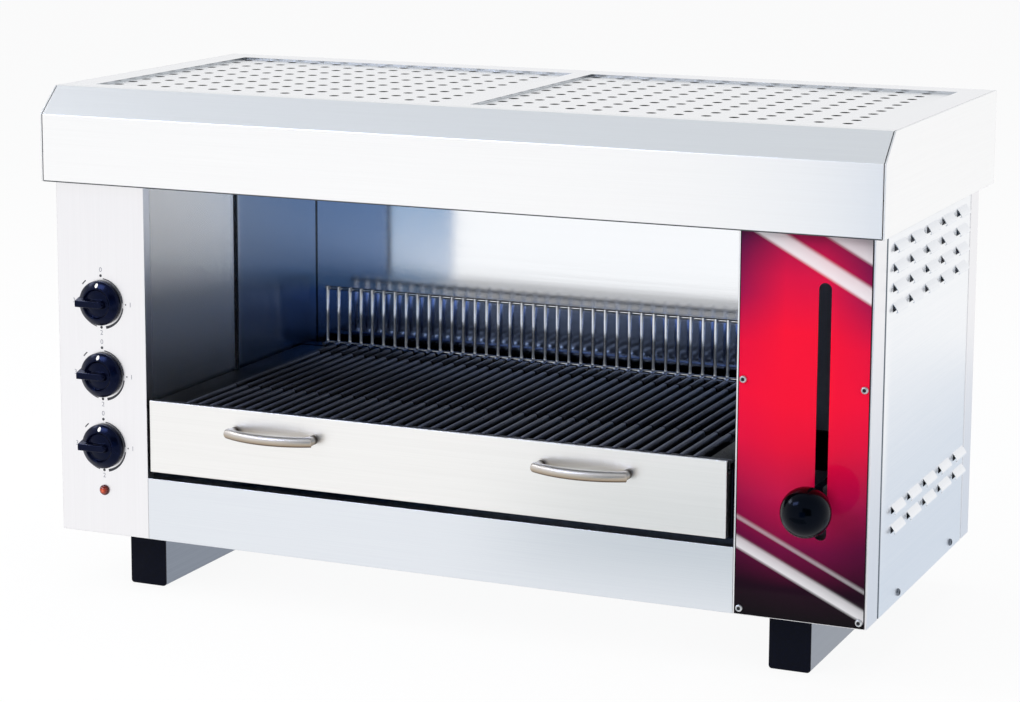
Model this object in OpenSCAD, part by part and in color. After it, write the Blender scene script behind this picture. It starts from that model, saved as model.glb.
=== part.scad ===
// Counter-top electric cheese melter: an open-fronted stainless cabinet with elements under a hood,
// and a cast grid with a drip drawer that are lifted together by a lever beside the opening.
// Inside the modules y = 0 is the front face of the columns and z = 0 the underside of the body.

/* [Body] */
// Width over the side panels
body_w = 879; // [780:1:1000]
// Depth from the front of the columns to the back of the corner posts
body_d = 382; // [378:1:460]
// Height from the underside of the body to the lower edge of the hood
front_h = 372; // [368:1:440]
// Thickness of the casing sheet
sheet = 1.5; // [1:0.1:2]
// Width of the control column on the left
control_w = 104; // [98:1:130]
// Width of the lever column on the right
lever_w = 132; // [128:1:170]
// How far the front columns fold back along the sides
side_return = 36; // [24:1:50]
// How far the front columns fold back beside the opening
inner_return = 12; // [8:1:20]
// Depth of the rear corner posts along the sides
post_d = 30; // [20:1:40]
// How far the rear corner posts fold in across the back
post_return = 30; // [24:1:40]
// Height of the fascia below the drawer
fascia_h = 65; // [50:1:68]
// Height of the folded rim of the base pan
pan_rim = 18; // [14:1:24]
// Depth of the rear cover box behind the corner posts
cover_d = 14; // [10:1:18]
// Step from the body sides in to the rear cover
cover_inset = 14; // [10:1:20]
// Gap between neighbouring casing sheets
seam = 0.4; // [0.2:0.1:0.6]

/* [Hood] */
// Overhang of the hood at each side
hood_side = 10.5; // [8:0.5:20]
// Overhang of the hood at the front
hood_front_y = 11; // [8:1:20]
// Overhang of the hood at the back
hood_back_y = 20; // [18:1:30]
// Height of the upright face of the hood
hood_face_h = 70; // [50:1:90]
// Height of the chamfer above the face
chamfer_h = 27; // [20:1:34]
// Depth of the chamfer above the face
chamfer_d = 30; // [20:1:36]
// Open joint between the hood front and its end cheeks
cheek_gap = 1; // [0.5:0.1:1.5]

/* [Top grilles] */
// Distance between hole centres, both ways
hole_pitch = 28.2; // [24:0.1:29]
// Diameter of a vent hole
hole_d = 8.5; // [6:0.5:12]
// Distance of the first holes from the left and rear edges of a grille
hole_in = 9.5; // [9:0.5:14]
// Least plain margin between the last holes and the right and front edges
hole_margin = 14; // [10:1:18]
// Distance from the side of the hood to a grille
grille_side = 32.4; // [24:0.1:60]
// Distance from the chamfer of the hood to a grille
grille_front = 26.5; // [22:0.5:50]
// Distance from the back of the hood to a grille
grille_rear = 34.5; // [20:0.5:50]
// Depth of the grille below the top of the hood
grille_drop = 2.5; // [1:0.5:5]
// Width of the plain strip between the two grilles
centre_strip = 22; // [16:1:40]
// Width of the ledge that carries a grille
ledge_w = 5; // [4:0.5:9]

/* [Louvres] */
// Length of one louvre
louvre_l = 38; // [26:1:40]
// Height of one louvre
louvre_h = 9; // [6:0.5:12]
// How far a louvre stands out at its lower edge
louvre_out = 5.5; // [3:0.5:8]
// Distance between louvres along the side
louvre_pitch = 58; // [54:1:70]
// Distance between louvre rows
louvre_row = 19.3; // [16:0.1:22]
// Rows of louvres under the hood
upper_rows = 4; // [2:1:5]
// Rows of louvres near the base
lower_rows = 2; // [1:1:3]

/* [Legs] */
// Height of the legs
leg_h = 60; // [50:1:90]
// Width of the leg tube
leg_w = 40; // [30:1:60]
// Wall of the leg tube
leg_wall = 2; // [1.5:0.1:3]
// Distance of the leg centres from the sides of the body
leg_side = 84; // [68:0.5:120]
// Distance of the leg ends from the front and back of the body
leg_inset = 34; // [28:1:60]
// Flange of the end cap
cap_flange = 3; // [2:0.5:5]
// How far the cap stands past the tube all round
cap_lip = 1; // [0.5:0.1:1.5]
// Diameter of the leg bolts
leg_bolt_d = 8; // [6:1:10]

/* [Chamber] */
// Distance of the chamber back wall behind the corner posts
back_gap = 2; // [1:0.5:4]
// Height of the chamber ceiling above the lower edge of the hood
ceiling_rise = 53; // [50:1:60]
// Thickness of the insulation on the ceiling
wool_t = 18; // [8:1:24]
// Width of the guide slot in each chamber wall
wall_slot_w = 10; // [9:0.5:14]
// Diameter of a heating element tube
element_d = 8; // [6:0.5:9]
// Distance between neighbouring passes of an element
element_pitch = 24; // [20:1:24]
// Drop of the elements below the ceiling
element_drop = 20; // [16:1:24]

/* [Lift] */
// Travel of the lifting frame
lift_travel = 190; // [120:1:190]
// Distance from the front face to the guide rods
rod_y0 = 193; // [185:1:205]
// Diameter of the guide rods
rod_d = 12; // [10:1:14]
// Running clearance of the bushes on the rods, on the radius
bush_clear = 0.05; // [0.02:0.01:0.1]
// Wall of a bush
bush_wall = 2; // [1.5:0.1:3]
// Width of a slider block
slider_w = 36; // [32:1:40]
// Depth of a slider block from front to back
slider_d = 40; // [34:1:50]
// Height of a slider block
slider_h = 60; // [50:1:70]
// Gap between the chamber wall and the left slider block
slider_off = 10; // [6:1:14]
// Thickness of the arms through the wall slots
arm_t = 6; // [4:0.5:7]
// Height of the arms through the wall slots
arm_h = 40; // [30:1:50]
// Height of the lever above the underside of the body, with the frame down
lever_z = 120; // [116:1:124]
// Thickness of the lever bar
lever_t = 8; // [6:0.5:9]
// Height of the lever bar
lever_h = 30; // [24:1:36]
// Width of the slot in the lever plate
lever_slot_w = 12.5; // [10:0.5:14]
// Distance of the lever slot from the right side of the body
lever_slot_x = 47; // [44:0.5:50]
// Diameter of the ball knob
ball_d = 48; // [40:1:50]
// Distance from the front face to the centre of the ball
ball_y = 47; // [40:1:60]
// Thickness of the red lever plate
plate_t = 1; // [0.8:0.1:1.5]
// Steel edge left showing beside the red lever plate
plate_inset = 1.8; // [1:0.1:4]

/* [Frame rails, grid and guard] */
// Gap between a chamber wall and its rail
rail_gap = 3; // [2:0.5:5]
// Height of a rail
rail_h = 68; // [60:1:72]
// Width of the ledge that carries the drawer
rail_ledge = 14; // [10:1:18]
// Gap between the fascia and the drawer front
drawer_rise = 9; // [8:0.5:16]
// Height of the top face of the grid ribs above the rails
grid_rib_h = 9.8; // [8:0.1:12]
// Height of the flat border of the grid
grid_border_h = 6; // [5:0.5:6.5]
// Gap between a chamber wall and the border of the grid
grid_gap = 5; // [4:0.5:8]
// Distance of the first rib from the left edge of the grid
grid_strip = 42.5; // [30:0.5:60]
// Least distance of the last rib from the right edge of the grid
grid_strip_r = 34; // [30:1:60]
// Distance between ribs
rib_pitch = 13.85; // [12:0.05:18]
// Width of the top of a rib
rib_w = 7; // [5:0.5:8]
// Gap between the grid and the rear bar
grid_rear = 5; // [1:0.5:30]
// Width of the front rim of the grid
grid_rim = 9; // [6:1:14]
// Height of the guard above the rear bar
guard_h = 69; // [50:1:69]
// Distance between guard wires
wire_pitch = 14.2; // [12:0.1:18]
// Distance of the first wire from the edge of the grid
wire_in = 27.5; // [20:0.5:60]
// Diameter of a guard wire
wire_d = 4.5; // [3:0.5:5]
// Gap between the guard wires and the chamber back wall
guard_gap = 36; // [24:1:60]

/* [Drawer] */
// Height of the drawer front
drawer_h = 75.5; // [72:0.5:76]
// Gap between the drawer front and the columns
drawer_gap = 6.6; // [5:0.1:9]
// How far the drawer front stands proud
drawer_proud = 5; // [3:0.5:8]
// Depth of the folded edges of the drawer front
drawer_return = 8; // [6:0.5:12]
// Gap between the drip tray and the rear bar
tray_rear = 5.2; // [2:0.1:40]
// Distance of a handle centre from the middle of the drawer front
handle_x = 169.5; // [100:0.5:240]
// Distance between the posts of a handle
handle_pitch = 90; // [76:1:128]
// Diameter of the handle bar
handle_d = 10.5; // [8:0.5:12]
// Distance of a handle below the top of the drawer front
handle_drop = 23; // [14:0.5:40]
// Length of the straight posts of a handle
handle_post = 12; // [10:1:20]
// Rise of the bow of a handle
handle_bow = 11; // [6:1:16]

/* [Controls] */
// Height of the lowest knob
knob_z = 94.5; // [80:0.5:110]
// Distance between knobs
knob_pitch = 76.2; // [60:0.1:90]
// Diameter of a knob
knob_d = 47; // [36:1:50]
// Radius of the domed front of a knob
knob_dome = 35; // [30:1:60]
// Depth of the round part of a knob at its middle
knob_h = 13; // [11:0.5:20]
// How far the grip stands up from a knob
grip_h = 2.5; // [2:0.5:8]
// Width of the grip of a knob
grip_w = 7.5; // [6:0.5:10]
// Diameter of a switch shaft
shaft_d = 6; // [5:0.5:8]
// Height of the pilot lamp
lamp_z = 47; // [30:1:60]
// Diameter of the pilot lamp lens
lamp_d = 11; // [8:0.5:14]

/* [Cable entry] */
// Bore of the cable gland
gland_bore = 11; // [8:0.5:14]
// Height of the cable gland
gland_z = 60; // [40:1:90]

/* [Hidden] */
$fn = 48;
eps = 0.01;
seat = 0.3;
half_w = body_w / 2;
open_l = -half_w + control_w;
open_r = half_w - lever_w;
open_mid = (open_l + open_r) / 2;
hood_x = half_w + hood_side;
hood_top_z = front_h + hood_face_h + chamfer_h;
hood_back = body_d + hood_back_y;
column_h = front_h + hood_face_h - 2;
pan_gap = sheet + seat;
pan_clear = pan_rim + seat;
side_h = front_h + 30;
chamber_d = body_d + back_gap;
ceiling_z = front_h + ceiling_rise;
element_z = ceiling_z - element_drop;
cover_y = body_d + cover_d;
cover_x = half_w - cover_inset;
cover_foot = 2;
rod_z0 = pan_rim;
rod_top = ceiling_z - 30;
rod_l = open_l - sheet - slider_off - slider_w / 2;
slot_x = half_w - lever_slot_x;
rod_r = slot_x - lever_t / 2 - slider_w / 2;
bracket_t = 14;
bracket_d = 30;
drawer_z = fascia_h + drawer_rise;
rail_z = drawer_z - sheet - seat;
rail_top = rail_z + rail_h;
rail_l = open_l + rail_gap;
rail_r = open_r - rail_gap;
guard_y = chamber_d - guard_gap;
bar_half = 8;
bar_front = guard_y - bar_half;
rail_back = guard_y + bar_half;
bar_h = 26;
bar_z = rail_top + 5.8;
drawer_x0 = open_l + drawer_gap;
drawer_x1 = open_r - drawer_gap;
drawer_mid = (drawer_x0 + drawer_x1) / 2;
tray_y = drawer_return - drawer_proud + sheet + seat;
tray_back = bar_front - tray_rear;
tray_top = rail_top - sheet - 0.5;
handle_z = drawer_z + drawer_h - handle_drop;
grid_x0 = open_l + grid_gap;
grid_x1 = open_r - grid_gap;
grid_y1 = bar_front - grid_rear;
grid_z = rail_top + grid_rib_h;
rib_n = floor((grid_x1 - grid_x0 - grid_strip - grid_strip_r) / rib_pitch) + 1;
rib_x0 = grid_x0 + grid_strip;
wire_n = floor((grid_x1 - grid_x0 - wire_in - wire_d * 3) / wire_pitch) + 1;
wire_x0 = grid_x0 + wire_in;
groove_w = 3;
groove_y = [104, grid_y1 - 39];
control_x = -half_w + control_w / 2 - 0.5;
knob_gap = 1.5;
knob_zs = [for (i = [0:2]) knob_z + i * knob_pitch];
grille_x0 = centre_strip / 2;
grille_x1 = hood_x - grille_side;
grille_y0 = chamfer_d - hood_front_y + grille_front;
grille_y1 = hood_back - grille_rear;
grille_z = hood_top_z - grille_drop;
hole_cols = floor((grille_x1 - grille_x0 - hole_in - hole_margin) / hole_pitch) + 1;
hole_rows = floor((grille_y1 - grille_y0 - hole_in - hole_margin) / hole_pitch) + 1;
hole_x0 = grille_x0 + hole_in;
hole_y0 = grille_y1 - hole_in - (hole_rows - 1) * hole_pitch;
leg_x = half_w - leg_side;
leg_len = body_d - 2 * leg_inset;
bolt_in = 36;
leg_bolt_y = [leg_inset + bolt_in, body_d - leg_inset - bolt_in];
bolt_head_h = 5;
bolt_nut_h = 6.5;
bolt_end = 2.5;
cap_plug = 15;
element_y0 = 45;
element_tuck = 1;
element_ys = [for (i = [0:2]) element_y0 + i * (4 * element_pitch - element_tuck)];
element_in = 36;
element_x0 = open_l + element_in;
element_x1 = open_r - element_in;
lead_out = 16;
hanger_in = 50;
hanger_xs = [element_x0 + hanger_in, open_mid, element_x1 - hanger_in];
plate_x0 = open_r + plate_inset;
plate_x1 = half_w - plate_inset;
plate_screw_in = 7;
plate_screw_xs = [open_r + plate_screw_in, half_w - plate_screw_in];
plate_screw_zs = [6.6, 229.4, column_h - 18];
screw_head_d = 7.5;
screw_head_h = 2.4;
screw_d = 4;
slot_bottom = lever_z - 38.5;
slot_top = lever_z + lift_travel + lever_h / 2 + 2;
side_screw_ys = [108, 306];
side_screw_z = 8;
louvre_edge = 25;
louvre_shift = 14;
louvre_y0 = side_return + louvre_edge;
louvre_low_y0 = louvre_y0 + louvre_shift;
louvre_top = front_h - 13;
louvre_low_top = 102.5;
side_y1 = body_d - post_d - seam;
louvre_cols = floor((side_y1 - 5 - louvre_low_y0 - louvre_l) / louvre_pitch) + 1;
gland_x = control_x;
switch_s = 34;
switch_l = 40;
gland_out = 14;
origin_y = (max(hood_back, cover_y + gland_out) - ball_y - ball_d / 2) / 2;

// Moves a piece from the body's own corner to the part frame on the surface it stands on
module placed() translate([0, -origin_y, leg_h]) children();

// Box from its low corner to its high corner
module block(a, b) translate(a) cube(b - a);

// Cylinder along y from y0 to y1
module rod_y(x, z, y0, y1, d) translate([x, y1, z]) rotate([90, 0, 0]) cylinder(d = d, h = y1 - y0);

// Cylinder along x from x0 to x1
module rod_x(y, z, x0, x1, d) translate([x0, y, z]) rotate([0, 90, 0]) cylinder(d = d, h = x1 - x0);

// Cylinder along z from z0 to z1
module rod_z(x, y, z0, z1, d) translate([x, y, z0]) cylinder(d = d, h = z1 - z0);

// Swaps left for right about x = 0
module flipped() mirror([1, 0, 0]) children();

// ---------------------------------------------------------------- base and legs
module base_pan() color("silver") placed() {
    g = pan_gap;
    difference() {
        block([-half_w + g, g, 0], [half_w - g, body_d - g, pan_rim]);
        block([-half_w + g + sheet, g + sheet, sheet],
              [half_w - g - sheet, body_d - g - sheet, pan_rim + eps]);
        for (x = [-leg_x, leg_x], y = leg_bolt_y) rod_z(x, y, -eps, sheet + eps, leg_bolt_d + 0.4);
        for (s = [-1, 1], y = side_screw_ys)
            rod_x(y, side_screw_z, s * (half_w - g) - 3, s * (half_w - g) + 3, screw_d + 0.4);
        for (x = plate_screw_xs) rod_y(x, plate_screw_zs[0], 0, g + sheet + 1, screw_d + 0.4);
    }
}

module leg_tube(x) {
    w = leg_w / 2;
    difference() {
        block([x - w, leg_inset, -leg_h + cap_lip], [x + w, leg_inset + leg_len, 0]);
        block([x - w + leg_wall, leg_inset - eps, -leg_h + cap_lip + leg_wall],
              [x + w - leg_wall, leg_inset + leg_len + eps, -leg_wall]);
        for (y = leg_bolt_y) rod_z(x, y, -leg_wall - eps, eps, leg_bolt_d + 0.4);
    }
}

module leg_left() color("lightsteelblue") placed() leg_tube(-leg_x);

module leg_right() color("lightsteelblue") placed() leg_tube(leg_x);

// Black end cap: a flange over the tube end and a plug inside it
module leg_cap() {
    w = leg_w / 2;
    c = leg_wall + 0.2;
    block([-w - cap_lip, -cap_flange, -leg_h], [w + cap_lip, 0, -seat]);
    block([-w + c, 0, -leg_h + cap_lip + c], [w - c, cap_plug, -c]);
}

module leg_caps() color("black") placed() for (x = [-leg_x, leg_x]) {
    translate([x, leg_inset, 0]) leg_cap();
    translate([x, body_d - leg_inset, 0]) mirror([0, 1, 0]) leg_cap();
}

module leg_bolts() color("gray") placed() for (x = [-leg_x, leg_x], y = leg_bolt_y) {
    rod_z(x, y, sheet, sheet + bolt_head_h, leg_bolt_d * 1.6);
    rod_z(x, y, -leg_wall - bolt_nut_h - bolt_end, sheet + eps, leg_bolt_d);
    difference() {
        translate([x, y, -leg_wall - bolt_nut_h]) cylinder(d = leg_bolt_d * 1.85, h = bolt_nut_h, $fn = 6);
        rod_z(x, y, -leg_wall - bolt_nut_h - eps, -leg_wall + 1, leg_bolt_d + 0.04);
    }
}

// ---------------------------------------------------------------- columns, sides and back
module control_column() color("whitesmoke") placed() difference() {
    union() {
        block([-half_w, 0, 0], [open_l, sheet, column_h]);
        block([-half_w, 0, 0], [-half_w + sheet, side_return, side_h]);
        block([open_l - sheet, 0, pan_clear], [open_l, inner_return, column_h]);
    }
    for (z = knob_zs) rod_y(control_x, z, -eps, sheet + eps, shaft_d + 2);
    rod_y(control_x, lamp_z, -eps, sheet + eps, lamp_d - 1.5);
}

// Upright slot with round ends, cut through in y
module lever_slot(y0, y1, w) {
    x = slot_x;
    block([x - w / 2, y0, slot_bottom + w / 2], [x + w / 2, y1, slot_top - w / 2]);
    rod_y(x, slot_bottom + w / 2, y0, y1, w);
    rod_y(x, slot_top - w / 2, y0, y1, w);
}

module lever_column() color("whitesmoke") placed() difference() {
    union() {
        block([open_r, 0, 0], [half_w, sheet, column_h]);
        block([half_w - sheet, 0, 0], [half_w, side_return, side_h]);
        block([open_r, 0, pan_clear], [open_r + sheet, inner_return, column_h]);
    }
    lever_slot(-eps, sheet + eps, lever_slot_w + 3);
    for (x = plate_screw_xs, z = plate_screw_zs) rod_y(x, z, -eps, sheet + eps, screw_d + 0.4);
}

module lever_plate() color("crimson") placed() difference() {
    block([plate_x0, -plate_t, 0.8], [plate_x1, 0, column_h - 6]);
    lever_slot(-plate_t - eps, eps, lever_slot_w);
    for (x = plate_screw_xs, z = plate_screw_zs) rod_y(x, z, -plate_t - eps, eps, screw_d + 0.4);
}

module plate_screws() color("lightgray") placed() for (x = plate_screw_xs, z = plate_screw_zs)
    difference() {
        union() {
            rod_y(x, z, -plate_t - screw_head_h, -plate_t, screw_head_d);
            rod_y(x, z, -plate_t - eps, screw_d * 2.25, screw_d);
        }
        rod_y(x, z, -plate_t - screw_head_h - eps, -plate_t - screw_head_h / 4, screw_d * 0.75);
    }

// Pressed louvre on the right side: a lip that leaves the panel at its top edge and opens downwards
module louvre_at(y, z) translate([half_w - eps, y + louvre_l, z]) rotate([90, 0, 0])
    linear_extrude(louvre_l) polygon([[0, 0], [louvre_out + eps, -louvre_h],
        [louvre_out - 1.1, -louvre_h], [0, -1.6]]);

module louvre_window(y, z) block([half_w - sheet - eps, y + 1, z - louvre_h],
    [half_w + eps, y + louvre_l - 1, z - 1.8]);

module louvre_places() {
    for (i = [0:louvre_cols - 1], j = [0:upper_rows - 1])
        translate([0, louvre_y0 + i * louvre_pitch, louvre_top - j * louvre_row]) children();
    for (i = [0:louvre_cols - 1], j = [0:lower_rows - 1])
        translate([0, louvre_low_y0 + i * louvre_pitch, louvre_low_top - j * louvre_row]) children();
}

module side_panel() {
    y0 = side_return + seam;
    y1 = side_y1;
    flange = 12;
    difference() {
        union() {
            block([half_w - sheet, y0, 0], [half_w, y1, side_h]);
            block([half_w - flange, y0, pan_rim + 1], [half_w - sheet + eps, y0 + sheet, side_h]);
            block([half_w - flange, y1 - sheet, pan_rim + 1], [half_w - sheet + eps, y1, side_h]);
        }
        louvre_places() louvre_window(0, 0);
        for (y = side_screw_ys) rod_x(y, side_screw_z, half_w - sheet - 1, half_w + 1, screw_d + 0.4);
    }
    louvre_places() louvre_at(0, 0);
}

module side_panel_right() color("gainsboro") placed() side_panel();

module side_panel_left() color("gainsboro") placed() flipped() side_panel();

module side_screws() color("lightgray") placed() for (s = [0, 1], y = side_screw_ys)
    mirror([s, 0, 0]) {
        rod_x(y, side_screw_z, half_w, half_w + 2.2, screw_head_d);
        rod_x(y, side_screw_z, half_w - 9, half_w + eps, screw_d);
    }

rear_screw_x = cover_x - 6.5;
rear_screw_zs = [30, side_h / 2, side_h - 50];

module rear_post() difference() {
    union() {
        block([half_w - sheet, body_d - post_d, 0], [half_w, body_d, side_h]);
        block([half_w - post_return, body_d - sheet, 0], [half_w, body_d, side_h]);
    }
    for (z = rear_screw_zs) rod_y(rear_screw_x, z, body_d - sheet - 1, body_d + 1, screw_d + 0.4);
}

module rear_post_right() color("gainsboro") placed() rear_post();

module rear_post_left() color("gainsboro") placed() flipped() rear_post();

module rear_cover() color("gainsboro") placed() difference() {
    block([-cover_x, body_d, cover_foot], [cover_x, cover_y, side_h]);
    block([-cover_x + sheet, body_d - eps, cover_foot + sheet],
          [cover_x - sheet, cover_y - sheet, side_h + eps]);
    rod_y(gland_x, gland_z, body_d, cover_y + eps, gland_bore + 9.4);
    for (x = [-rear_screw_x, rear_screw_x], z = rear_screw_zs)
        rod_y(x, z, body_d, cover_y + eps, screw_d + 0.4);
}

module rear_screws() color("lightgray") placed() for (x = [-rear_screw_x, rear_screw_x], z = rear_screw_zs) {
    rod_y(x, z, cover_y, cover_y + 2.2, screw_head_d);
    rod_y(x, z, body_d - sheet - 4, cover_y + eps, screw_d);
}

module fascia() color("lightsteelblue") placed() {
    x0 = open_l + seat;
    x1 = open_r - seat;
    block([x0, 0, 0], [x1, sheet, fascia_h]);
    block([x0, 0, fascia_h - sheet], [x1, inner_return, fascia_h]);
}

// ---------------------------------------------------------------- chamber and heating
// Cuts in a chamber wall at x: the slot for the lifting arm and the notch over the rim of the base pan
module wall_cuts(x) {
    block([x - 3, rod_y0 - wall_slot_w / 2, lever_z - arm_h / 2 - 12],
        [x + 3, rod_y0 + wall_slot_w / 2, ceiling_z - 18]);
    block([x - 3, body_d - pan_gap - sheet - seat, 0], [x + 3, chamber_d + 1, pan_clear]);
}

module chamber_left() color("gray") placed() difference() {
    block([open_l - sheet, inner_return + seat, sheet], [open_l, chamber_d, ceiling_z]);
    wall_cuts(open_l);
    for (y = element_ys, k = [0, 3])
        rod_x(y + k * element_pitch, element_z, open_l - 3, open_l + 3, element_d + 0.6);
}

module chamber_right() color("gray") placed() difference() {
    block([open_r, inner_return + seat, sheet], [open_r + sheet, chamber_d, ceiling_z]);
    wall_cuts(open_r);
}

module chamber_back() color("lightblue") placed()
    block([open_l - sheet, chamber_d, cover_foot + sheet], [open_r + sheet, chamber_d + sheet, ceiling_z]);

module heat_shield() color("gainsboro") placed()
    block([open_l - sheet, inner_return, ceiling_z], [open_r + sheet, chamber_d, ceiling_z + sheet]);

module insulation() color("khaki") placed()
    block([open_l + 10, inner_return + 10, ceiling_z + sheet],
          [open_r - 10, chamber_d - 10, ceiling_z + sheet + wool_t]);

// Half turn between two passes, opening towards -x when side is 1 and towards +x when it is -1
module element_turn(x, y, side) translate([x, y + element_pitch / 2, element_z])
    rotate([0, 0, side > 0 ? -90 : 90]) rotate_extrude(angle = 180)
    translate([element_pitch / 2, 0]) circle(d = element_d);

// Tube bent into four passes, with both cold ends through the left chamber wall
module element(y) {
    lead = open_l - sheet - lead_out;
    for (k = [0:3])
        rod_x(y + k * element_pitch, element_z, k == 0 || k == 3 ? lead : element_x0, element_x1, element_d);
    element_turn(element_x1, y, 1);
    element_turn(element_x1, y + 2 * element_pitch, 1);
    element_turn(element_x0, y + element_pitch, -1);
}

module element_front() color("dimgray") placed() element(element_ys[0]);

module element_middle() color("dimgray") placed() element(element_ys[1]);

module element_rear() color("dimgray") placed() element(element_ys[2]);

// Combs under the ceiling that the element passes run through
module element_hangers() color("silver") placed() for (x = hanger_xs) difference() {
    block([x - 1, element_ys[0] - 10, element_z - element_d / 2 - 3],
          [x + 1, element_ys[2] + 3 * element_pitch + 10, ceiling_z]);
    for (y = element_ys, k = [0:3]) rod_x(y + k * element_pitch, element_z, x - 2, x + 2, element_d + 0.6);
}

// ---------------------------------------------------------------- hood
chamfer_a = atan2(chamfer_h, chamfer_d);
face_z = front_h + hood_face_h;
chamfer_y = chamfer_d - hood_front_y;
front_lap = 8;

module hood_front() color("whitesmoke") placed() {
    f = -hood_front_y;
    t = sheet;
    len = 2 * (hood_x - sheet - cheek_gap);
    translate([-len / 2, 0, 0]) rotate([90, 0, 90]) linear_extrude(len) polygon([
        [f, front_h], [f, face_z], [chamfer_y, hood_top_z], [chamfer_y + front_lap, hood_top_z],
        [chamfer_y + front_lap, hood_top_z - t], [chamfer_y + t * tan(chamfer_a / 2), hood_top_z - t],
        [f + t, face_z - t * tan((90 - chamfer_a) / 2)], [f + t, front_h + t],
        [-plate_t - seat, front_h + t], [-plate_t - seat, front_h]]);
}

module hood_cheek() {
    translate([hood_x - sheet, 0, 0]) rotate([90, 0, 90]) linear_extrude(sheet) polygon([
        [-hood_front_y, front_h], [-hood_front_y, face_z], [chamfer_y, hood_top_z],
        [hood_back, hood_top_z], [hood_back, front_h]]);
    block([half_w, 0, front_h], [hood_x - sheet + eps, hood_back - sheet - seat, front_h + sheet]);
}

module hood_cheek_right() color("whitesmoke") placed() hood_cheek();

module hood_cheek_left() color("whitesmoke") placed() flipped() hood_cheek();

module hood_rear() color("whitesmoke") placed() {
    x = hood_x - sheet - seat;
    block([-x, hood_back - sheet, front_h], [x, hood_back, hood_top_z - sheet - seat]);
    block([-cover_x, cover_y, front_h], [cover_x, hood_back - sheet + eps, front_h + sheet]);
}

// Recess for one grille: low corner and high corner of the opening, seen from above
module grille_ring(x0, x1, y0, y1) difference() {
    block([x0 - sheet, y0 - sheet, grille_z - 2 * sheet], [x1 + sheet, y1 + sheet, hood_top_z]);
    block([x0, y0, grille_z - sheet], [x1, y1, hood_top_z + eps]);
    block([x0 + ledge_w, y0 + ledge_w, 0], [x1 - ledge_w, y1 - ledge_w, hood_top_z + eps]);
}

module hood_top() color("whitesmoke") placed() {
    x = hood_x - sheet - seat;
    difference() {
        block([-x, chamfer_y + front_lap + seat, hood_top_z - sheet], [x, hood_back, hood_top_z]);
        for (s = [0, 1]) mirror([s, 0, 0])
            block([grille_x0, grille_y0, hood_top_z - 5], [grille_x1, grille_y1, hood_top_z + 1]);
    }
    for (s = [0, 1]) mirror([s, 0, 0]) grille_ring(grille_x0, grille_x1, grille_y0, grille_y1);
}

module grille() difference() {
    block([grille_x0 + seat, grille_y0 + seat, grille_z - sheet],
          [grille_x1 - seat, grille_y1 - seat, grille_z]);
    for (i = [0:hole_cols - 1], j = [0:hole_rows - 1])
        rod_z(hole_x0 + i * hole_pitch, hole_y0 + j * hole_pitch,
            grille_z - sheet - eps, grille_z + eps, hole_d);
}

module grille_right() color("silver") placed() grille();

module grille_left() color("silver") placed() translate([-grille_x0 - grille_x1, 0, 0]) grille();

// ---------------------------------------------------------------- lift
rod_xs = [rod_l, rod_r];

module guide_rods() color("lightgray") placed() for (x = rod_xs) rod_z(x, rod_y0, rod_z0, rod_top, rod_d);

module bracket_at(x0, x1, x, z) difference() {
    block([x0, rod_y0 - bracket_d / 2, z], [x1, rod_y0 + bracket_d / 2, z + bracket_t]);
    rod_z(x, rod_y0, z - eps, z + bracket_t + eps, rod_d + 0.1);
}

module rod_brackets() color("darkgray") placed() for (z = [rod_z0 + 4, rod_top - 4 - bracket_t]) {
    bracket_at(rod_l - 15, open_l - sheet, rod_l, z);
    bracket_at(open_r + sheet, rod_r + 15, rod_r, z);
}

bush_d = rod_d + 2 * bush_clear + 2 * bush_wall;
bush_h = 16;
slider_z = lever_z - slider_h / 2;
brake_d = 10;
brake_tip = rod_d / 2 + seat;
brake_seat = slider_d / 2 - 8;

module slider_blocks() color("gray") placed() for (x = rod_xs) difference() {
    block([x - slider_w / 2, rod_y0 - slider_d / 2, slider_z],
          [x + slider_w / 2, rod_y0 + slider_d / 2, slider_z + slider_h]);
    rod_z(x, rod_y0, slider_z - eps, slider_z + slider_h + eps, bush_d + 0.04);
    rod_y(x, lever_z, rod_y0, rod_y0 + slider_d / 2 + eps, brake_d + 0.2);
}

module slide_bushes() color("goldenrod") placed()
    for (x = rod_xs, z = [slider_z, slider_z + slider_h - bush_h])
    difference() {
        rod_z(x, rod_y0, z, z + bush_h, bush_d);
        rod_z(x, rod_y0, z - eps, z + bush_h + eps, rod_d + 2 * bush_clear);
    }

// Nylon pad against the rod, and the screw that presses it
module friction_brakes() color("ivory") placed() for (x = rod_xs) {
    rod_y(x, lever_z, rod_y0 + brake_tip, rod_y0 + brake_seat, brake_d);
    rod_y(x, lever_z, rod_y0 + brake_seat + 0.1, rod_y0 + slider_d / 2 + 5, brake_d);
}

// Channel that opens towards +x, from its web at x
module rail_channel(x, s) mirror([s, 0, 0]) {
    block([x, 4, rail_z], [x + sheet, rail_back, rail_top]);
    block([x, 4, rail_z], [x + rail_ledge, rail_back, rail_z + sheet]);
    block([x, 4, rail_top - sheet], [x + rail_ledge, rail_back, rail_top]);
}

module lift_frame() color("black") placed() {
    rail_channel(rail_l, 0);
    rail_channel(-rail_r, 1);
    block([rail_l, bar_front, bar_z - bar_h], [rail_r, rail_back, bar_z]);
    block([rod_l + slider_w / 2, rod_y0 - arm_t / 2, lever_z - arm_h / 2],
          [rail_l + eps, rod_y0 + arm_t / 2, min(lever_z + arm_h / 2, rail_top)]);
    block([rail_r - eps, rod_y0 - arm_t / 2, lever_z - arm_h / 2],
          [rod_r - slider_w / 2, rod_y0 + arm_t / 2, min(lever_z + arm_h / 2, rail_top)]);
}

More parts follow.
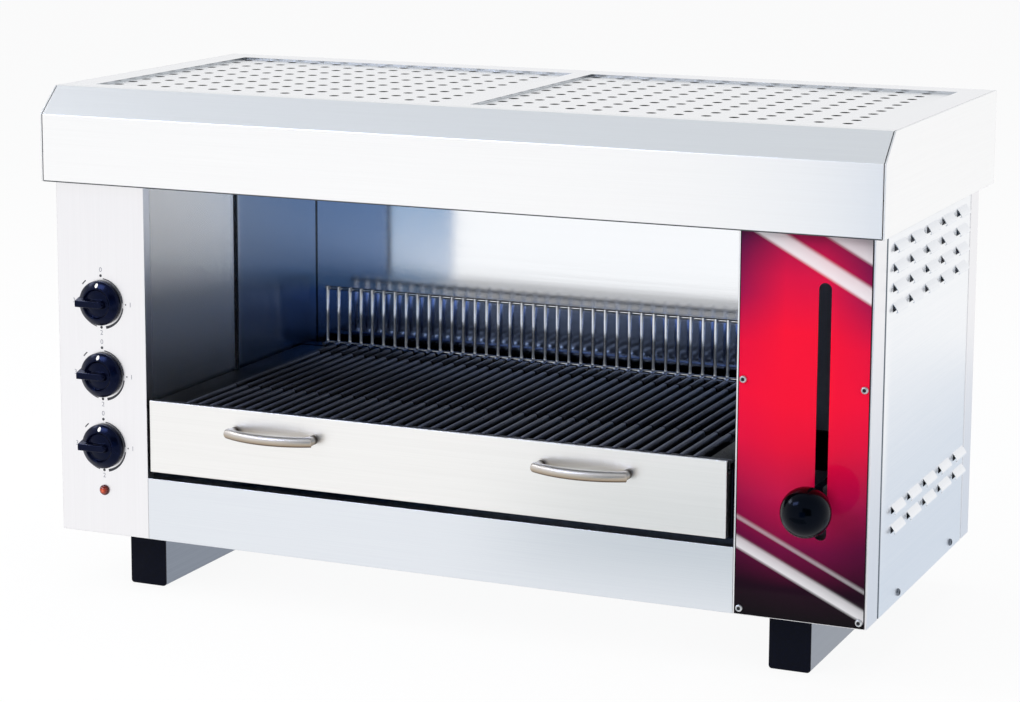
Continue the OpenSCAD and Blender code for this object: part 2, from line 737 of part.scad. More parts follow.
// Upright wires on the rear bar, joined behind by an upper and a lower rod
module wire_guard() color("lightgray") placed() {
    y = guard_y + wire_d - 0.4;
    for (i = [0:wire_n - 1]) rod_z(wire_x0 + i * wire_pitch, guard_y, bar_z, bar_z + guard_h, wire_d);
    for (z = [bar_z + 5, bar_z + guard_h - 3])
        rod_x(y, z, wire_x0 - wire_d, wire_x0 + (wire_n - 1) * wire_pitch + wire_d, wire_d);
}

module cast_grid() color("black") placed() {
    border_z = rail_top + grid_border_h;
    rib_x1 = rib_x0 + (rib_n - 1) * rib_pitch;
    y0 = 0.5;
    difference() {
        union() {
            block([grid_x0, y0, rail_top], [rib_x0 - rib_pitch + rib_w / 2, grid_y1, border_z]);
            block([rib_x1 + rib_pitch - rib_w / 2, y0, rail_top], [grid_x1, grid_y1, border_z]);
            block([grid_x0, y0, rail_top], [grid_x1, y0 + grid_rim, grid_z - 1.5]);
            for (y = concat(groove_y, [grid_y1 - 8]))
                block([grid_x0, y - 8, rail_top], [grid_x1, y + 8, border_z - 2]);
            for (i = [0:rib_n - 1])
                block([rib_x0 + i * rib_pitch - rib_w / 2, y0, rail_top],
                      [rib_x0 + i * rib_pitch + rib_w / 2, grid_y1, grid_z]);
        }
        for (y = groove_y)
            block([grid_x0 - 1, y - groove_w / 2, border_z - 1],
                  [grid_x1 + 1, y + groove_w / 2, grid_z + 1]);
    }
}

// Flat bar from the right slider block out through the slots of the column and its plate
module lever_bar() color("black") placed() difference() {
    union() {
        block([slot_x - lever_t / 2, -8, lever_z - lever_h / 2],
              [slot_x + lever_t / 2, rod_y0 + slider_d / 2, lever_z + lever_h / 2]);
        rod_y(slot_x, lever_z, -ball_y + 6, -8 + eps, 10);
    }
}

module ball_knob() color("black") placed() difference() {
    union() {
        translate([slot_x, -ball_y, lever_z]) sphere(d = ball_d, $fn = 64);
        rod_y(slot_x, lever_z, -ball_y, -8 - seat, 22);
    }
    rod_y(slot_x, lever_z, -ball_y + 5, 0, 10.1);
}

// ---------------------------------------------------------------- drawer
module drip_tray() color("silver") placed() difference() {
    block([drawer_x0, tray_y, drawer_z], [drawer_x1, tray_back, tray_top]);
    block([drawer_x0 + sheet, tray_y + sheet, drawer_z + sheet],
          [drawer_x1 - sheet, tray_back - sheet, tray_top + eps]);
}

handle_xs = [drawer_mid - handle_x, drawer_mid + handle_x];
drawer_face = -drawer_proud;

module drawer_front() color("whitesmoke") placed() difference() {
    z1 = drawer_z + drawer_h;
    front = drawer_face + sheet;
    back = drawer_face + drawer_return + sheet;
    union() {
        block([drawer_x0, drawer_face, drawer_z], [drawer_x1, front, z1]);
        block([drawer_x0, drawer_face, drawer_z], [drawer_x1, back, drawer_z + sheet]);
        block([drawer_x0, drawer_face, drawer_z], [drawer_x0 + sheet, back, rail_top - 3]);
        block([drawer_x1 - sheet, drawer_face, drawer_z], [drawer_x1, back, rail_top - 3]);
        block([drawer_x0, drawer_face, z1 - sheet], [drawer_x1, front + sheet, z1]);
    }
    for (x = handle_xs, s = [-1, 1])
        rod_y(x + s * handle_pitch / 2, handle_z, drawer_face - eps, front + eps, screw_d + 0.4);
}

bow_r = (handle_pitch * handle_pitch / 4 + handle_bow * handle_bow) / (2 * handle_bow);
bow_a = asin(handle_pitch / 2 / bow_r);
bow_end = 1.5;
screw_in = 7;

// Bowed bar on two posts, with threaded holes for the screws from behind
module bow_handle(x) translate([x, drawer_face, handle_z]) difference() {
    union() {
        for (s = [-1, 1]) rod_y(s * handle_pitch / 2, 0, -handle_post, 0, handle_d - 1);
        translate([0, bow_r - handle_bow - handle_post, 0]) rotate([0, 0, -90 - bow_a - bow_end])
            rotate_extrude(angle = 2 * (bow_a + bow_end)) translate([bow_r, 0]) circle(d = handle_d);
    }
    for (s = [-1, 1]) rod_y(s * handle_pitch / 2, 0, -screw_in, eps, screw_d + 0.04);
}

module bow_handles() color("silver") placed() for (x = handle_xs) bow_handle(x);

module handle_screws() color("gray") placed() for (x = handle_xs, s = [-1, 1])
    translate([x + s * handle_pitch / 2, drawer_face, handle_z]) {
        rod_y(0, 0, sheet, sheet + 2.2, screw_head_d);
        rod_y(0, 0, -screw_in + 0.5, sheet + eps, screw_d);
    }

// ---------------------------------------------------------------- controls and wiring
module knob(z) translate([control_x, -knob_gap, z]) difference() {
    union() {
        intersection() {
            rotate([90, 0, 0]) cylinder(d = knob_d, h = knob_h);
            translate([0, knob_dome - knob_h, 0]) sphere(r = knob_dome, $fn = 96);
        }
        block([1.5 - knob_d / 2, -knob_h - grip_h, -grip_w / 2], [knob_d / 5, -3, grip_w / 2]);
    }
    rod_y(0, 0, 2 - knob_h, eps, shaft_d + 0.04);
}

module knob_top() color("black") placed() knob(knob_zs[2]);

module knob_middle() color("black") placed() knob(knob_zs[1]);

module knob_bottom() color("black") placed() knob(knob_zs[0]);

switch_gap = 0.5;

module shaft(z) rod_y(control_x, z, 2.5 - knob_gap - knob_h, sheet + switch_l / 2, shaft_d);

module shaft_top() color("silver") placed() shaft(knob_zs[2]);

module shaft_middle() color("silver") placed() shaft(knob_zs[1]);

module shaft_bottom() color("silver") placed() shaft(knob_zs[0]);

module power_switches() color("dimgray") placed() for (z = knob_zs) difference() {
    block([control_x - switch_s / 2, sheet, z - switch_s / 2],
          [control_x + switch_s / 2, sheet + switch_l, z + switch_s / 2]);
    rod_y(control_x, z, sheet - eps, sheet + switch_l / 2 + switch_gap, shaft_d + 0.1);
}

module lamp_lens() color("orangered") placed() {
    rod_y(control_x, lamp_z, -1.5, -eps, lamp_d);
    translate([control_x, -1.5, lamp_z]) intersection() {
        sphere(d = lamp_d - 1);
        block([-lamp_d, -lamp_d, -lamp_d], [lamp_d, 0, lamp_d]);
    }
}

module lamp_body() color("white") placed() rod_y(control_x, lamp_z, 0, 28, lamp_d - 2);

terminal_in = 120;
terminal_y = body_d - terminal_in;

module terminal_block() color("white") placed() difference() {
    block([control_x - 25, terminal_y, sheet], [control_x + 25, terminal_y + 40, sheet + 26]);
    for (i = [-2:2]) rod_z(control_x + i * 9, terminal_y + 12, sheet + 16, sheet + 27, 5);
}

// Gland in the rear cover: a nut inside, a dome outside and the bore for the supply cable
module cable_gland() color("black") placed() difference() {
    union() {
        rod_y(gland_x, gland_z, cover_y - 22, cover_y + 2, gland_bore + 9);
        translate([gland_x, cover_y, gland_z]) rotate([-90, 0, 0])
            cylinder(d = gland_bore + 15, h = 5, $fn = 6);
        translate([gland_x, cover_y + 5 - eps, gland_z]) rotate([-90, 0, 0])
            cylinder(d1 = gland_bore + 11, d2 = gland_bore + 4, h = gland_out - 5 + eps);
        translate([gland_x, cover_y - sheet - 6, gland_z]) rotate([-90, 0, 0])
            cylinder(d = gland_bore + 15, h = 6, $fn = 6);
    }
    rod_y(gland_x, gland_z, cover_y - 23, cover_y + gland_out + 1, gland_bore);
}

loom_d = 6;

// Straight run of bundled wires between two points, square in section
module run(a, b) {
    r = loom_d / 2;
    block([for (i = [0:2]) min(a[i], b[i]) - r], [for (i = [0:2]) max(a[i], b[i]) + r]);
}

// Wires from the terminal block forward to the switches and up to the element ends
module wire_loom() color("firebrick") placed() {
    r = loom_d / 2;
    x = control_x - switch_s / 2 - 5;
    z = sheet + 12;
    y = sheet + switch_l + r;
    lead_x = open_l - sheet - lead_out - r;
    run([x, terminal_y - r, z], [x, y, z]);
    run([x, y, z], [x, y, element_z]);
    for (kz = knob_zs) run([x, y, kz], [control_x, y, kz]);
    run([x, y, element_z], [lead_x, y, element_z]);
    run([lead_x, element_ys[0], element_z], [lead_x, element_ys[2] + 3 * element_pitch, element_z]);
}

base_pan();
leg_left();
leg_right();
leg_caps();
leg_bolts();
control_column();
lever_column();
lever_plate();
side_panel_left();
side_panel_right();
rear_post_left();
rear_post_right();
rear_cover();
fascia();
chamber_left();
chamber_right();
chamber_back();
heat_shield();
insulation();
hood_front();
hood_cheek_left();
hood_cheek_right();
hood_rear();
hood_top();
grille_left();
grille_right();
element_front();
element_middle();
element_rear();
element_hangers();
guide_rods();
rod_brackets();
slider_blocks();
slide_bushes();
friction_brakes();
lift_frame();
wire_guard();
cast_grid();
lever_bar();
ball_knob();
drip_tray();
drawer_front();
bow_handles();
handle_screws();
knob_top();
knob_middle();
knob_bottom();
shaft_top();
shaft_middle();
shaft_bottom();
power_switches();
lamp_lens();
lamp_body();
terminal_block();
cable_gland();
wire_loom();
plate_screws();
side_screws();
rear_screws();
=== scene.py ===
import math

import bmesh
import bpy
from mathutils import Matrix, Vector


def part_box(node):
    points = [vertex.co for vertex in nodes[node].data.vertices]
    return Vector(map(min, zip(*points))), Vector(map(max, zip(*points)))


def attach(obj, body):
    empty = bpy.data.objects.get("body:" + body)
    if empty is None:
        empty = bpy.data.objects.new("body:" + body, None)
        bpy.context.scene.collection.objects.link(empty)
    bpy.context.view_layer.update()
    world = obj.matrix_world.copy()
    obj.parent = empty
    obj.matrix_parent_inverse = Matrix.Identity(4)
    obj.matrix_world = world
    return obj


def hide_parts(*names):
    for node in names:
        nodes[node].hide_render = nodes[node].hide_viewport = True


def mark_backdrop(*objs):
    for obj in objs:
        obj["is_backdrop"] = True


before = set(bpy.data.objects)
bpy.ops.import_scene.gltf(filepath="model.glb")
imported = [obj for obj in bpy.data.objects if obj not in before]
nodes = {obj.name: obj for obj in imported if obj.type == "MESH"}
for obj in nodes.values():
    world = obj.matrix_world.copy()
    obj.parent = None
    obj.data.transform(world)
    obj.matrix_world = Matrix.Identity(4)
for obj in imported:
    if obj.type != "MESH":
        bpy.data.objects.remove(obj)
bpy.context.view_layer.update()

# ---------------------------------------------------------------------------------------------
# Camera, a little above the hood and to the right of the grill, looking down and to the left.
# It stays level; the small shift keeps the whole cabinet in the picture.
yaw, pitch, roll = math.radians(23.416), math.radians(9.518), math.radians(0.274)
look = Vector((-math.sin(yaw) * math.cos(pitch), math.cos(yaw) * math.cos(pitch), -math.sin(pitch)))
level = look.cross(Vector((0, 0, 1))).normalized()
upright = level.cross(look)
right = level * math.cos(roll) + upright * math.sin(roll)
up = upright * math.cos(roll) - level * math.sin(roll)

camera = bpy.data.objects.new("camera", bpy.data.cameras.new("camera"))
bpy.context.scene.collection.objects.link(camera)
turned_to = Matrix((right, up, -look)).transposed().to_4x4()
camera.matrix_world = Matrix.Translation((1.127, -2.6001, 0.8393)) @ turned_to
camera.data.sensor_fit = "HORIZONTAL"
camera.data.sensor_width = 36
camera.data.lens = 97.95
camera.data.shift_y = -0.099
camera.data.clip_end = 50
bpy.context.scene.camera = camera
bpy.context.scene.view_settings.view_transform = "Standard"


# ---------------------------------------------------------------------------------------------
# Studio: a pale sweep on the floor, an even pale dome, soft boxes at the left, right and top. Polished
# pieces also show a bright strip, a blue and two grey cards and a black flag, all outside the view.
def srgb(code):
    """Linear colour with alpha from a hex code such as #E4E4E2."""
    parts = [int(code[i:i + 2], 16) / 255 for i in (1, 3, 5)]
    return tuple(c / 12.92 if c <= 0.04045 else ((c + 0.055) / 1.055) ** 2.4 for c in parts) + (1.0,)


def add(tree, kind, sockets=None, **settings):
    """Adds one shader node; a socket given as a value is set, and one given as an output is linked."""
    node = tree.nodes.new("ShaderNode" + kind)
    for name, value in settings.items():
        setattr(node, name, value)
    for name, value in (sockets or {}).items():
        if isinstance(value, bpy.types.NodeSocket):
            tree.links.new(value, node.inputs[name])
        else:
            node.inputs[name].default_value = value
    return node


def maths(tree, operation, *values):
    """The result of one sum; each value is a number or an output."""
    return add(tree, "Math", dict(enumerate(values)), operation=operation).outputs[0]


def seen_rays(tree):
    """1 for camera, glossy and transmission rays, and 0 for the rays that light the scene."""
    path = add(tree, "LightPath")
    either = maths(tree, "MAXIMUM", path.outputs["Is Camera Ray"], path.outputs["Is Glossy Ray"])
    return maths(tree, "MAXIMUM", either, path.outputs["Is Transmission Ray"]), path


world = bpy.data.worlds.new("studio_dome")
bpy.context.scene.world = world
world.use_nodes = True
dome = world.node_tree
dome.nodes.clear()
seen, path = seen_rays(dome)
way = add(dome, "SeparateXYZ", {0: add(dome, "TexCoord").outputs["Generated"]})
height = add(dome, "ValToRGB", {0: way.outputs["Z"]})
height.color_ramp.elements[0].position = 0.05
height.color_ramp.elements[0].color = srgb("#FAFAFB")
height.color_ramp.elements[1].position = 0.9
height.color_ramp.elements[1].color = srgb("#CED3D8")
mirrored = add(dome, "Background", {"Color": height.outputs["Color"], "Strength": 1.0})
white = add(dome, "Background", {"Color": srgb("#FFFFFF"), "Strength": 1.0})
lighting = add(dome, "Background", {"Color": srgb("#F4F6FA"), "Strength": 0.68})
indirect = add(dome, "MixShader", {0: seen, 1: lighting.outputs[0], 2: mirrored.outputs[0]})
all_rays = add(dome, "MixShader", {0: path.outputs["Is Camera Ray"], 1: indirect.outputs[0],
                                   2: white.outputs[0]})
add(dome, "OutputWorld", {"Surface": all_rays.outputs[0]})


def soft_box(name, place, size, power, mirror):
    """One rectangular soft box aimed at the grill; mirror says whether polished pieces show it."""
    lamp = bpy.data.lights.new(name, "AREA")
    lamp.shape = "RECTANGLE"
    lamp.size, lamp.size_y = size
    lamp.energy = power
    box = bpy.data.objects.new(name, lamp)
    bpy.context.scene.collection.objects.link(box)
    box.location = place
    box.rotation_euler = (Vector((0, 0, 0.3)) - Vector(place)).to_track_quat("-Z", "Y").to_euler()
    box.visible_camera = False
    box.visible_glossy = mirror


soft_box("box_window", (-2.5, -0.5, 2.0), (0.9, 0.7), 12, True)
soft_box("box_left", (-2.4, -1.8, 2.4), (1.8, 1.8), 30, False)
soft_box("box_front", (-1.2, -2.8, 2.0), (1.8, 1.2), 18, False)
soft_box("box_right", (2.6, -1.2, 1.6), (1.2, 1.6), 12, False)
soft_box("box_top", (0.0, 0.2, 3.0), (2.4, 1.6), 30, False)


def flat_stage(name, corners, material):
    """A flat sheet of the studio, which isn't part of the grill."""
    mesh = bpy.data.meshes.new(name)
    mesh.from_pydata(corners, [], [(0, 1, 2, 3)])
    mesh.materials.append(material)
    sheet = bpy.data.objects.new(name, mesh)
    bpy.context.scene.collection.objects.link(sheet)
    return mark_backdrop(sheet) or sheet


sweep = bpy.data.materials.new("paper_sweep")
sweep.use_nodes = True
paper = sweep.node_tree
paper.nodes.clear()
seen, path = seen_rays(paper)
matt = add(paper, "BsdfDiffuse", {"Color": srgb("#EDEDED")})
glow = add(paper, "Emission", {"Color": srgb("#FFFFFF"), "Strength": 1.0})
add(paper, "OutputMaterial", {"Surface": add(paper, "MixShader", {
    0: maths(paper, "MULTIPLY", seen, 0.91), 1: matt.outputs[0], 2: glow.outputs[0]}).outputs[0]})
reach, below = 12, -0.0004
flat_stage("floor", [(-reach, -reach, below), (reach, -reach, below), (reach, reach, below),
                     (-reach, reach, below)], sweep)

for name, colour, strength, corners in (
        ("blue_card", "#3A86C0", 1.0,
         [(0.16, -1.5, 0), (0.72, -1.5, 0), (0.72, -1.5, 0.50), (0.16, -1.5, 0.50)]),
        ("black_flag", "#2C3038", 1.0,
         [(0.45, -2.95, 0.12), (2.9, -2.95, 0.12), (2.9, -2.95, 2), (0.45, -2.95, 2)]),
        ("grey_card_right", "#D4DDE8", 1.0,
         [(0.46, -0.1, 0), (0.80, -0.1, 0), (0.80, 1.4, 0), (0.46, 1.4, 0)]),
        ("grey_card_front", "#BFC8CC", 1.0,
         [(-0.08, -0.82, 0), (0.5, -0.82, 0), (0.5, -0.45, 0), (-0.08, -0.45, 0)]),
        ("strip_box", "#CFDCFF", 10.0,
         [(-1.7, -1.3, 2.05), (-0.5, -1.3, 2.05), (-0.5, -1.65, 1.7), (-1.7, -1.65, 1.7)])):
    coating = bpy.data.materials.new(name)
    coating.use_nodes = True
    coating.node_tree.nodes.clear()
    add(coating.node_tree, "OutputMaterial", {"Surface": add(coating.node_tree, "Emission", {
        "Color": srgb(colour), "Strength": strength}).outputs[0]})
    card = flat_stage(name, corners, coating)
    card.visible_camera = card.visible_diffuse = card.visible_shadow = False
    card.visible_transmission = card.visible_volume_scatter = False


# ---------------------------------------------------------------------------------------------
# Casing: base pan, columns, side panels, corner posts, rear cover and fascia, folded from 1.5 mm
# stainless sheet with a fine satin grain. It gives a soft, nearly white sheen with rounded folds.
def new_material(name, colour, metallic, roughness, **sockets):
    """A Principled material with plain starting values; returns the material, its tree and shader."""
    material = bpy.data.materials.new(name)
    material.use_nodes = True
    tree = material.node_tree
    tree.nodes.clear()
    shader = add(tree, "BsdfPrincipled", {"Base Color": srgb(colour), "Metallic": metallic,
                                          "Roughness": roughness, **sockets})
    add(tree, "OutputMaterial", {"Surface": shader.outputs[0]})
    return material, tree, shader


def stretched_noise(tree, along, across, grain, detail=2.0):
    """Noise in real millimetres, long along the named axes and fine across the others."""
    size = [1000 / (along if axis in grain else across) for axis in "xyz"]
    spread = add(tree, "Mapping", {"Vector": add(tree, "TexCoord").outputs["Object"], "Scale": size})
    return add(tree, "TexNoise", {"Vector": spread.outputs[0], "Scale": 1.0, "Detail": detail,
                                  "Roughness": 0.6}).outputs[0]


def spread_over(tree, factor, low, high):
    """Maps the middle of a noise factor onto a range of plain values."""
    return add(tree, "MapRange", {"Value": factor, "From Min": 0.3, "From Max": 0.7,
                                  "To Min": low, "To Max": high}).outputs[0]


def blend_colours(tree, factor, first, second):
    """Mixes two colours, each a hex code or an output, by a factor."""
    ends = [srgb(c) if isinstance(c, str) else c for c in (first, second)]
    return add(tree, "Mix", {0: factor, 6: ends[0], 7: ends[1]}, data_type="RGBA").outputs[2]


def relief(tree, shader, height, strength, depth_mm, fold_mm=0.0):
    """Bumps a surface by a height in millimetres, over edges softened to a small radius."""
    bump = add(tree, "Bump", {"Strength": strength, "Distance": depth_mm / 1000, "Height": height})
    if fold_mm:
        fold = add(tree, "Bevel", {"Radius": fold_mm / 1000}, samples=4)
        tree.links.new(fold.outputs[0], bump.inputs["Normal"])
    tree.links.new(bump.outputs[0], shader.inputs["Normal"])


def brushed_steel(name, light, dark, roughness, along, across, grain, strength=0.01, fold_mm=0.0):
    """Sheet steel with a one-way grain: lines with slightly different tone, gloss and height."""
    material, tree, shader = new_material(name, light, 1.0, roughness)
    lines = stretched_noise(tree, along, across, grain)
    tree.links.new(blend_colours(tree, spread_over(tree, lines, 0.0, 1.0), dark, light),
                   shader.inputs["Base Color"])
    tree.links.new(spread_over(tree, lines, roughness - 0.01, roughness + 0.01),
                   shader.inputs["Roughness"])
    relief(tree, shader, lines, strength, 0.1, fold_mm)
    return material


def finish_nodes(material, *names):
    """Gives CAD nodes their finished material."""
    for name in names:
        nodes[name].data.materials.clear()
        nodes[name].data.materials.append(material)


# The satin belt leaves lines of about 0.2 mm; they are drawn 1 mm apart, as fine as can be seen.
belt = 160, 1.0
satin_across = brushed_steel("satin_ground_stainless", "#FAFAFA", "#F7F7F8", 0.32, *belt, "xy", fold_mm=1.2)
satin_upright = brushed_steel("satin_ground_stainless_upright", "#F7F6F8", "#F4F3F5", 0.32, *belt, "z",
                              fold_mm=1.2)
# The base pan and fascia take a cooler, darker copy of the same sheet: painted shade low down near the
# floor.
satin_lower_painted_shade = brushed_steel("satin_ground_stainless_lower_painted_shade", "#E9EDF2", "#E5E9EF", 0.30, *belt, "xy",
                           fold_mm=1.0)
finish_nodes(satin_across, "rear_cover")
finish_nodes(satin_upright, "control_column", "lever_column", "rear_post_left", "rear_post_right")
finish_nodes(satin_lower_painted_shade, "base_pan", "fascia")

# ---------------------------------------------------------------------------------------------
# Fixing screws: button heads with a hexagon socket, cold-headed steel with bright zinc plating.
# The rounded rim catches a light ring; the floor of the socket is painted near black as painted shade in
# the recess.
to_part = Matrix.Translation((0, -0.1695, 0.06)) @ Matrix.Scale(0.001, 4)


def mottled(name, light, dark, metallic, rough_low, rough_high, grain_mm, strength, **sockets):
    """A material with soft patches of tone and gloss, sized in millimetres, and a fine relief."""
    material, tree, shader = new_material(name, light, metallic, rough_low, **sockets)
    patches = stretched_noise(tree, grain_mm, grain_mm, "", 3.0)
    tree.links.new(blend_colours(tree, spread_over(tree, patches, 0.0, 1.0), dark, light),
                   shader.inputs["Base Color"])
    tree.links.new(spread_over(tree, patches, rough_low, rough_high), shader.inputs["Roughness"])
    relief(tree, shader, stretched_noise(tree, grain_mm / 4, grain_mm / 4, "", 3.0), strength, 0.2)
    return material


def make_piece(name, shape, material, body, slot, *stands_for, sharp=40):
    """Makes a piece of a mesh in millimetres from the cabinet's middle, column face and underside."""
    bmesh.ops.recalc_face_normals(shape, faces=shape.faces[:])
    shape.transform(to_part)
    mesh = bpy.data.meshes.new(name)
    shape.to_mesh(mesh)
    shape.free()
    mesh.polygons.foreach_set("use_smooth", [True] * len(mesh.polygons))
    mesh.set_sharp_from_angle(angle=math.radians(sharp))
    mesh.materials.append(material)
    item = bpy.data.objects.new(name, mesh)
    bpy.context.scene.collection.objects.link(item)
    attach(item, body)
    if stands_for:
        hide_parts(*stands_for)


def turned(shape, centre, axis, profile, sides=32, hexagon=0):
    """A turned form through (radius, distance along the axis); the first rings may be hexagonal."""
    axis = Vector(axis).normalized()
    side = axis.orthogonal().normalized()
    other = axis.cross(side)
    rings = []
    for index, (radius, along) in enumerate(profile):
        base = Vector(centre) + axis * along
        if radius == 0:
            rings.append([shape.verts.new(base)] * sides)
            continue
        ring = []
        for step in range(sides):
            angle = 2 * math.pi * step / sides
            reach = radius / (math.cos(angle % (math.pi / 3) - math.pi / 6) if index < hexagon else 1)
            outward = side * math.cos(angle) + other * math.sin(angle)
            ring.append(shape.verts.new(base + outward * reach))
        rings.append(ring)
    for near, far in zip(rings, rings[1:]):
        for step in range(sides):
            corner = [near[step], near[step - 1], far[step - 1], far[step]]
            corner = [v for i, v in enumerate(corner) if v not in corner[:i]]
            if len(corner) > 2:
                shape.faces.new(corner)


zinc = mottled("zinc_plated_steel", "#D6D8DA", "#C3C6CA", 1.0, 0.28, 0.38, 4, 0.1)


def screw_head(shape, place, axis, high):
    """One 7.5 mm button head: hexagon socket, rounded rim and a short shank behind it."""
    turned(shape, place, axis, [(1.75, 0.5), (1.75, high - 0.2), (2.3, high), (2.7, high - 0.1),
                                (3.2, high * 0.78), (3.6, high * 0.4), (3.75, 0.25), (3.75, 0),
                                (2, 0), (2, -5), (0, -5)], 36, 2)


def screw_socket(shape, place, axis):
    """The floor of the socket, painted near black as painted shade."""
    turned(shape, place, axis, [(0, 0.9), (1.78, 1.05), (1.78, 0.6), (0, 0.5)], 36, 4)


# A darker copy of the zinc, given to the four screws low on the side panels.
darker_zinc = mottled("darker_zinc_plated_steel", "#868C95", "#6E747E", 1.0, 0.34, 0.44, 4, 0.1)
# Painted shade: the socket floors are painted near black for the shade deep in the hex sockets.
socket_painted_shade = mottled("socket_floor_painted_shade", "#15171C", "#0C0E12", 0.0, 0.5, 0.6, 1, 0.1)
for label, head_high, plating, places in (
        ("plate", 2.4, zinc,
         [((x, -1, z), (0, -1, 0)) for x in (314.5, 432.5) for z in (6.6, 229.4, 422.0)]),
        ("side", 2.2, darker_zinc, [((s * 439.5, y, 8), (s, 0, 0)) for s in (-1, 1) for y in (108, 306)]),
        ("rear", 2.2, zinc, [((x, 396, z), (0, 1, 0)) for x in (-419, 419) for z in (30, 201, 352)])):
    heads, sockets = bmesh.new(), bmesh.new()
    for place, axis in places:
        screw_head(heads, place, axis, head_high)
        screw_socket(sockets, place, axis)
    make_piece(label + "_screw_heads", heads, plating, "cabinet", "zinc_plated_steel", label + "_screws")
    make_piece(label + "_screw_sockets", sockets, socket_painted_shade, "cabinet", "zinc_plated_steel")

# ---------------------------------------------------------------------------------------------
# Side panels: 1.5 mm stainless with the front and rear edges folded in over a 2 mm radius, and
# rows of pressed louvres whose ends stay open and read as dark drops. The skin mirrors cool light.
def inside(material):
    """The node tree of a material and its shader."""
    tree = material.node_tree
    return tree, next(n for n in tree.nodes if n.type == "BSDF_PRINCIPLED")


def place_in(tree):
    """Where a point of a piece is in the shared frame, as three outputs in metres."""
    return add(tree, "SeparateXYZ", {0: add(tree, "TexCoord").outputs["Object"]}).outputs


def rise(tree, value, start, end):
    """A share that runs from 0 where the value is at start to 1 where it is at end."""
    return add(tree, "MapRange", {"Value": value, "From Min": start, "From Max": end}).outputs[0]


def recolour(tree, shader, share, first=None, second=None):
    """Mixes a material's colour, which stands where a colour is left out, with another by a share."""
    now = shader.inputs["Base Color"].links[0].from_socket
    tree.links.new(blend_colours(tree, share, first or now, second or now), shader.inputs["Base Color"])


side_steel = brushed_steel("satin_ground_stainless_side", "#FBFCFE", "#F6F8FB", 0.30, *belt, "xy")
tree, shader = inside(side_steel)
seam_painted_shade_start, seam_painted_shade_end = -0.1286, -0.1279    # the bend of the front fold, where the painted shade of the seam stops
# Painted shade: the front fold of the side panel is painted dark grey for the shadow in the seam against
# the column.
recolour(tree, shader, rise(tree, place_in(tree)["Y"], seam_painted_shade_start, seam_painted_shade_end), "#6A727C")

panel_x, panel_z, fold_x, fold_r = 439.5, 402.0, 427.5, 2.0    # face, top, and end and radius of the folds
bend_y0, bend_y1 = 41.4, 348.9                                 # where the face ends and the folds start
column_step, row_step = 58, 19.3
hole_y0, hole_y1, hole_z0, hole_z1 = 0.6, 37.4, -9.0, -1.2     # the hole behind a louvre, from its corner
louvre_skin = [(0, 0), (1.2, -1.4), (2.8, -3.3), (4.2, -5.4), (5.1, -7.3), (5.2, -8.5), (4.6, -9.3),
               (3.6, -9.6)]


def side_panel(shape, side):
    """One panel with its folds, holes and louvres; side is 1 at the right and -1 at the left."""
    corners = [(61 + column_step * i, 359 - row_step * j) for i in range(5) for j in range(4)]
    corners += [(75 + column_step * i, 102.5 - row_step * j) for i in range(5) for j in range(2)]
    ys = sorted({y + d for y, z in corners for d in (hole_y0, hole_y1)})
    zs = [0.0] + sorted({z + d for y, z in corners for d in (hole_z0, hole_z1)}) + [panel_z]
    fold = [(panel_x - fold_r + fold_r * math.cos(a), fold_r * math.sin(a))
            for a in (math.radians(d) for d in (90, 60, 30, 0))]
    line = [(fold_x, bend_y0 - fold_r)] + [(x, bend_y0 - d) for x, d in fold] + [(panel_x, y) for y in ys]
    line += [(x, bend_y1 + d) for x, d in fold[::-1]] + [(fold_x, bend_y1 + fold_r)]
    net = [[shape.verts.new((side * x, y, z)) for x, y in line] for z in zs]
    for low, high, z0, z1 in zip(net, net[1:], zs, zs[1:]):
        for step in range(len(line) - 1):
            y = (line[step][1] + line[step + 1][1]) / 2
            if not any(hole_y0 < y - cy < hole_y1 and hole_z0 < (z0 + z1) / 2 - cz < hole_z1
                       for cy, cz in corners):
                shape.faces.new((low[step], low[step + 1], high[step + 1], high[step]))
    for y, z in corners:
        skins = [[shape.verts.new((side * (panel_x + 0.05 + out), y + along, z + drop))
                  for out, drop in louvre_skin] for along in (0.4, 19.0, 37.6)]
        for near, far in zip(skins, skins[1:]):
            for step in range(len(louvre_skin) - 1):
                shape.faces.new((near[step], near[step + 1], far[step + 1], far[step]))


for side, label in ((1, "right"), (-1, "left")):
    panel = bmesh.new()
    side_panel(panel, side)
    bmesh.ops.recalc_face_normals(panel, faces=panel.faces[:])
    bmesh.ops.solidify(panel, geom=panel.faces[:], thickness=0.7)
    make_piece("side_sheet_" + label, panel, side_steel, "cabinet", "satin_stainless",
               "side_panel_" + label, sharp=20)

# ---------------------------------------------------------------------------------------------
# Legs: two 40 x 60 mm stainless tubes that run from front to back, bolted under the pan, with
# black polythene end caps. The caps are moulded with rounded corners and a fine eggshell surface.
# The tubes are the same stainless as the casing, painted a darker blue-grey as painted shade for the shaded
# floor they mirror.
tube_steel_painted_shade = brushed_steel("satin_ground_stainless_tube_painted_shade", "#878F9C", "#7F8794", 0.30, 200, 1.0, "y",
                           fold_mm=1.5)
finish_nodes(tube_steel_painted_shade, "leg_left", "leg_right")
finish_nodes(zinc, "leg_bolts")
polythene = mottled("moulded_polythene", "#04081A", "#030612", 0.0, 0.42, 0.50, 3, 0.15,
                    **{"Specular IOR Level": 0.08})


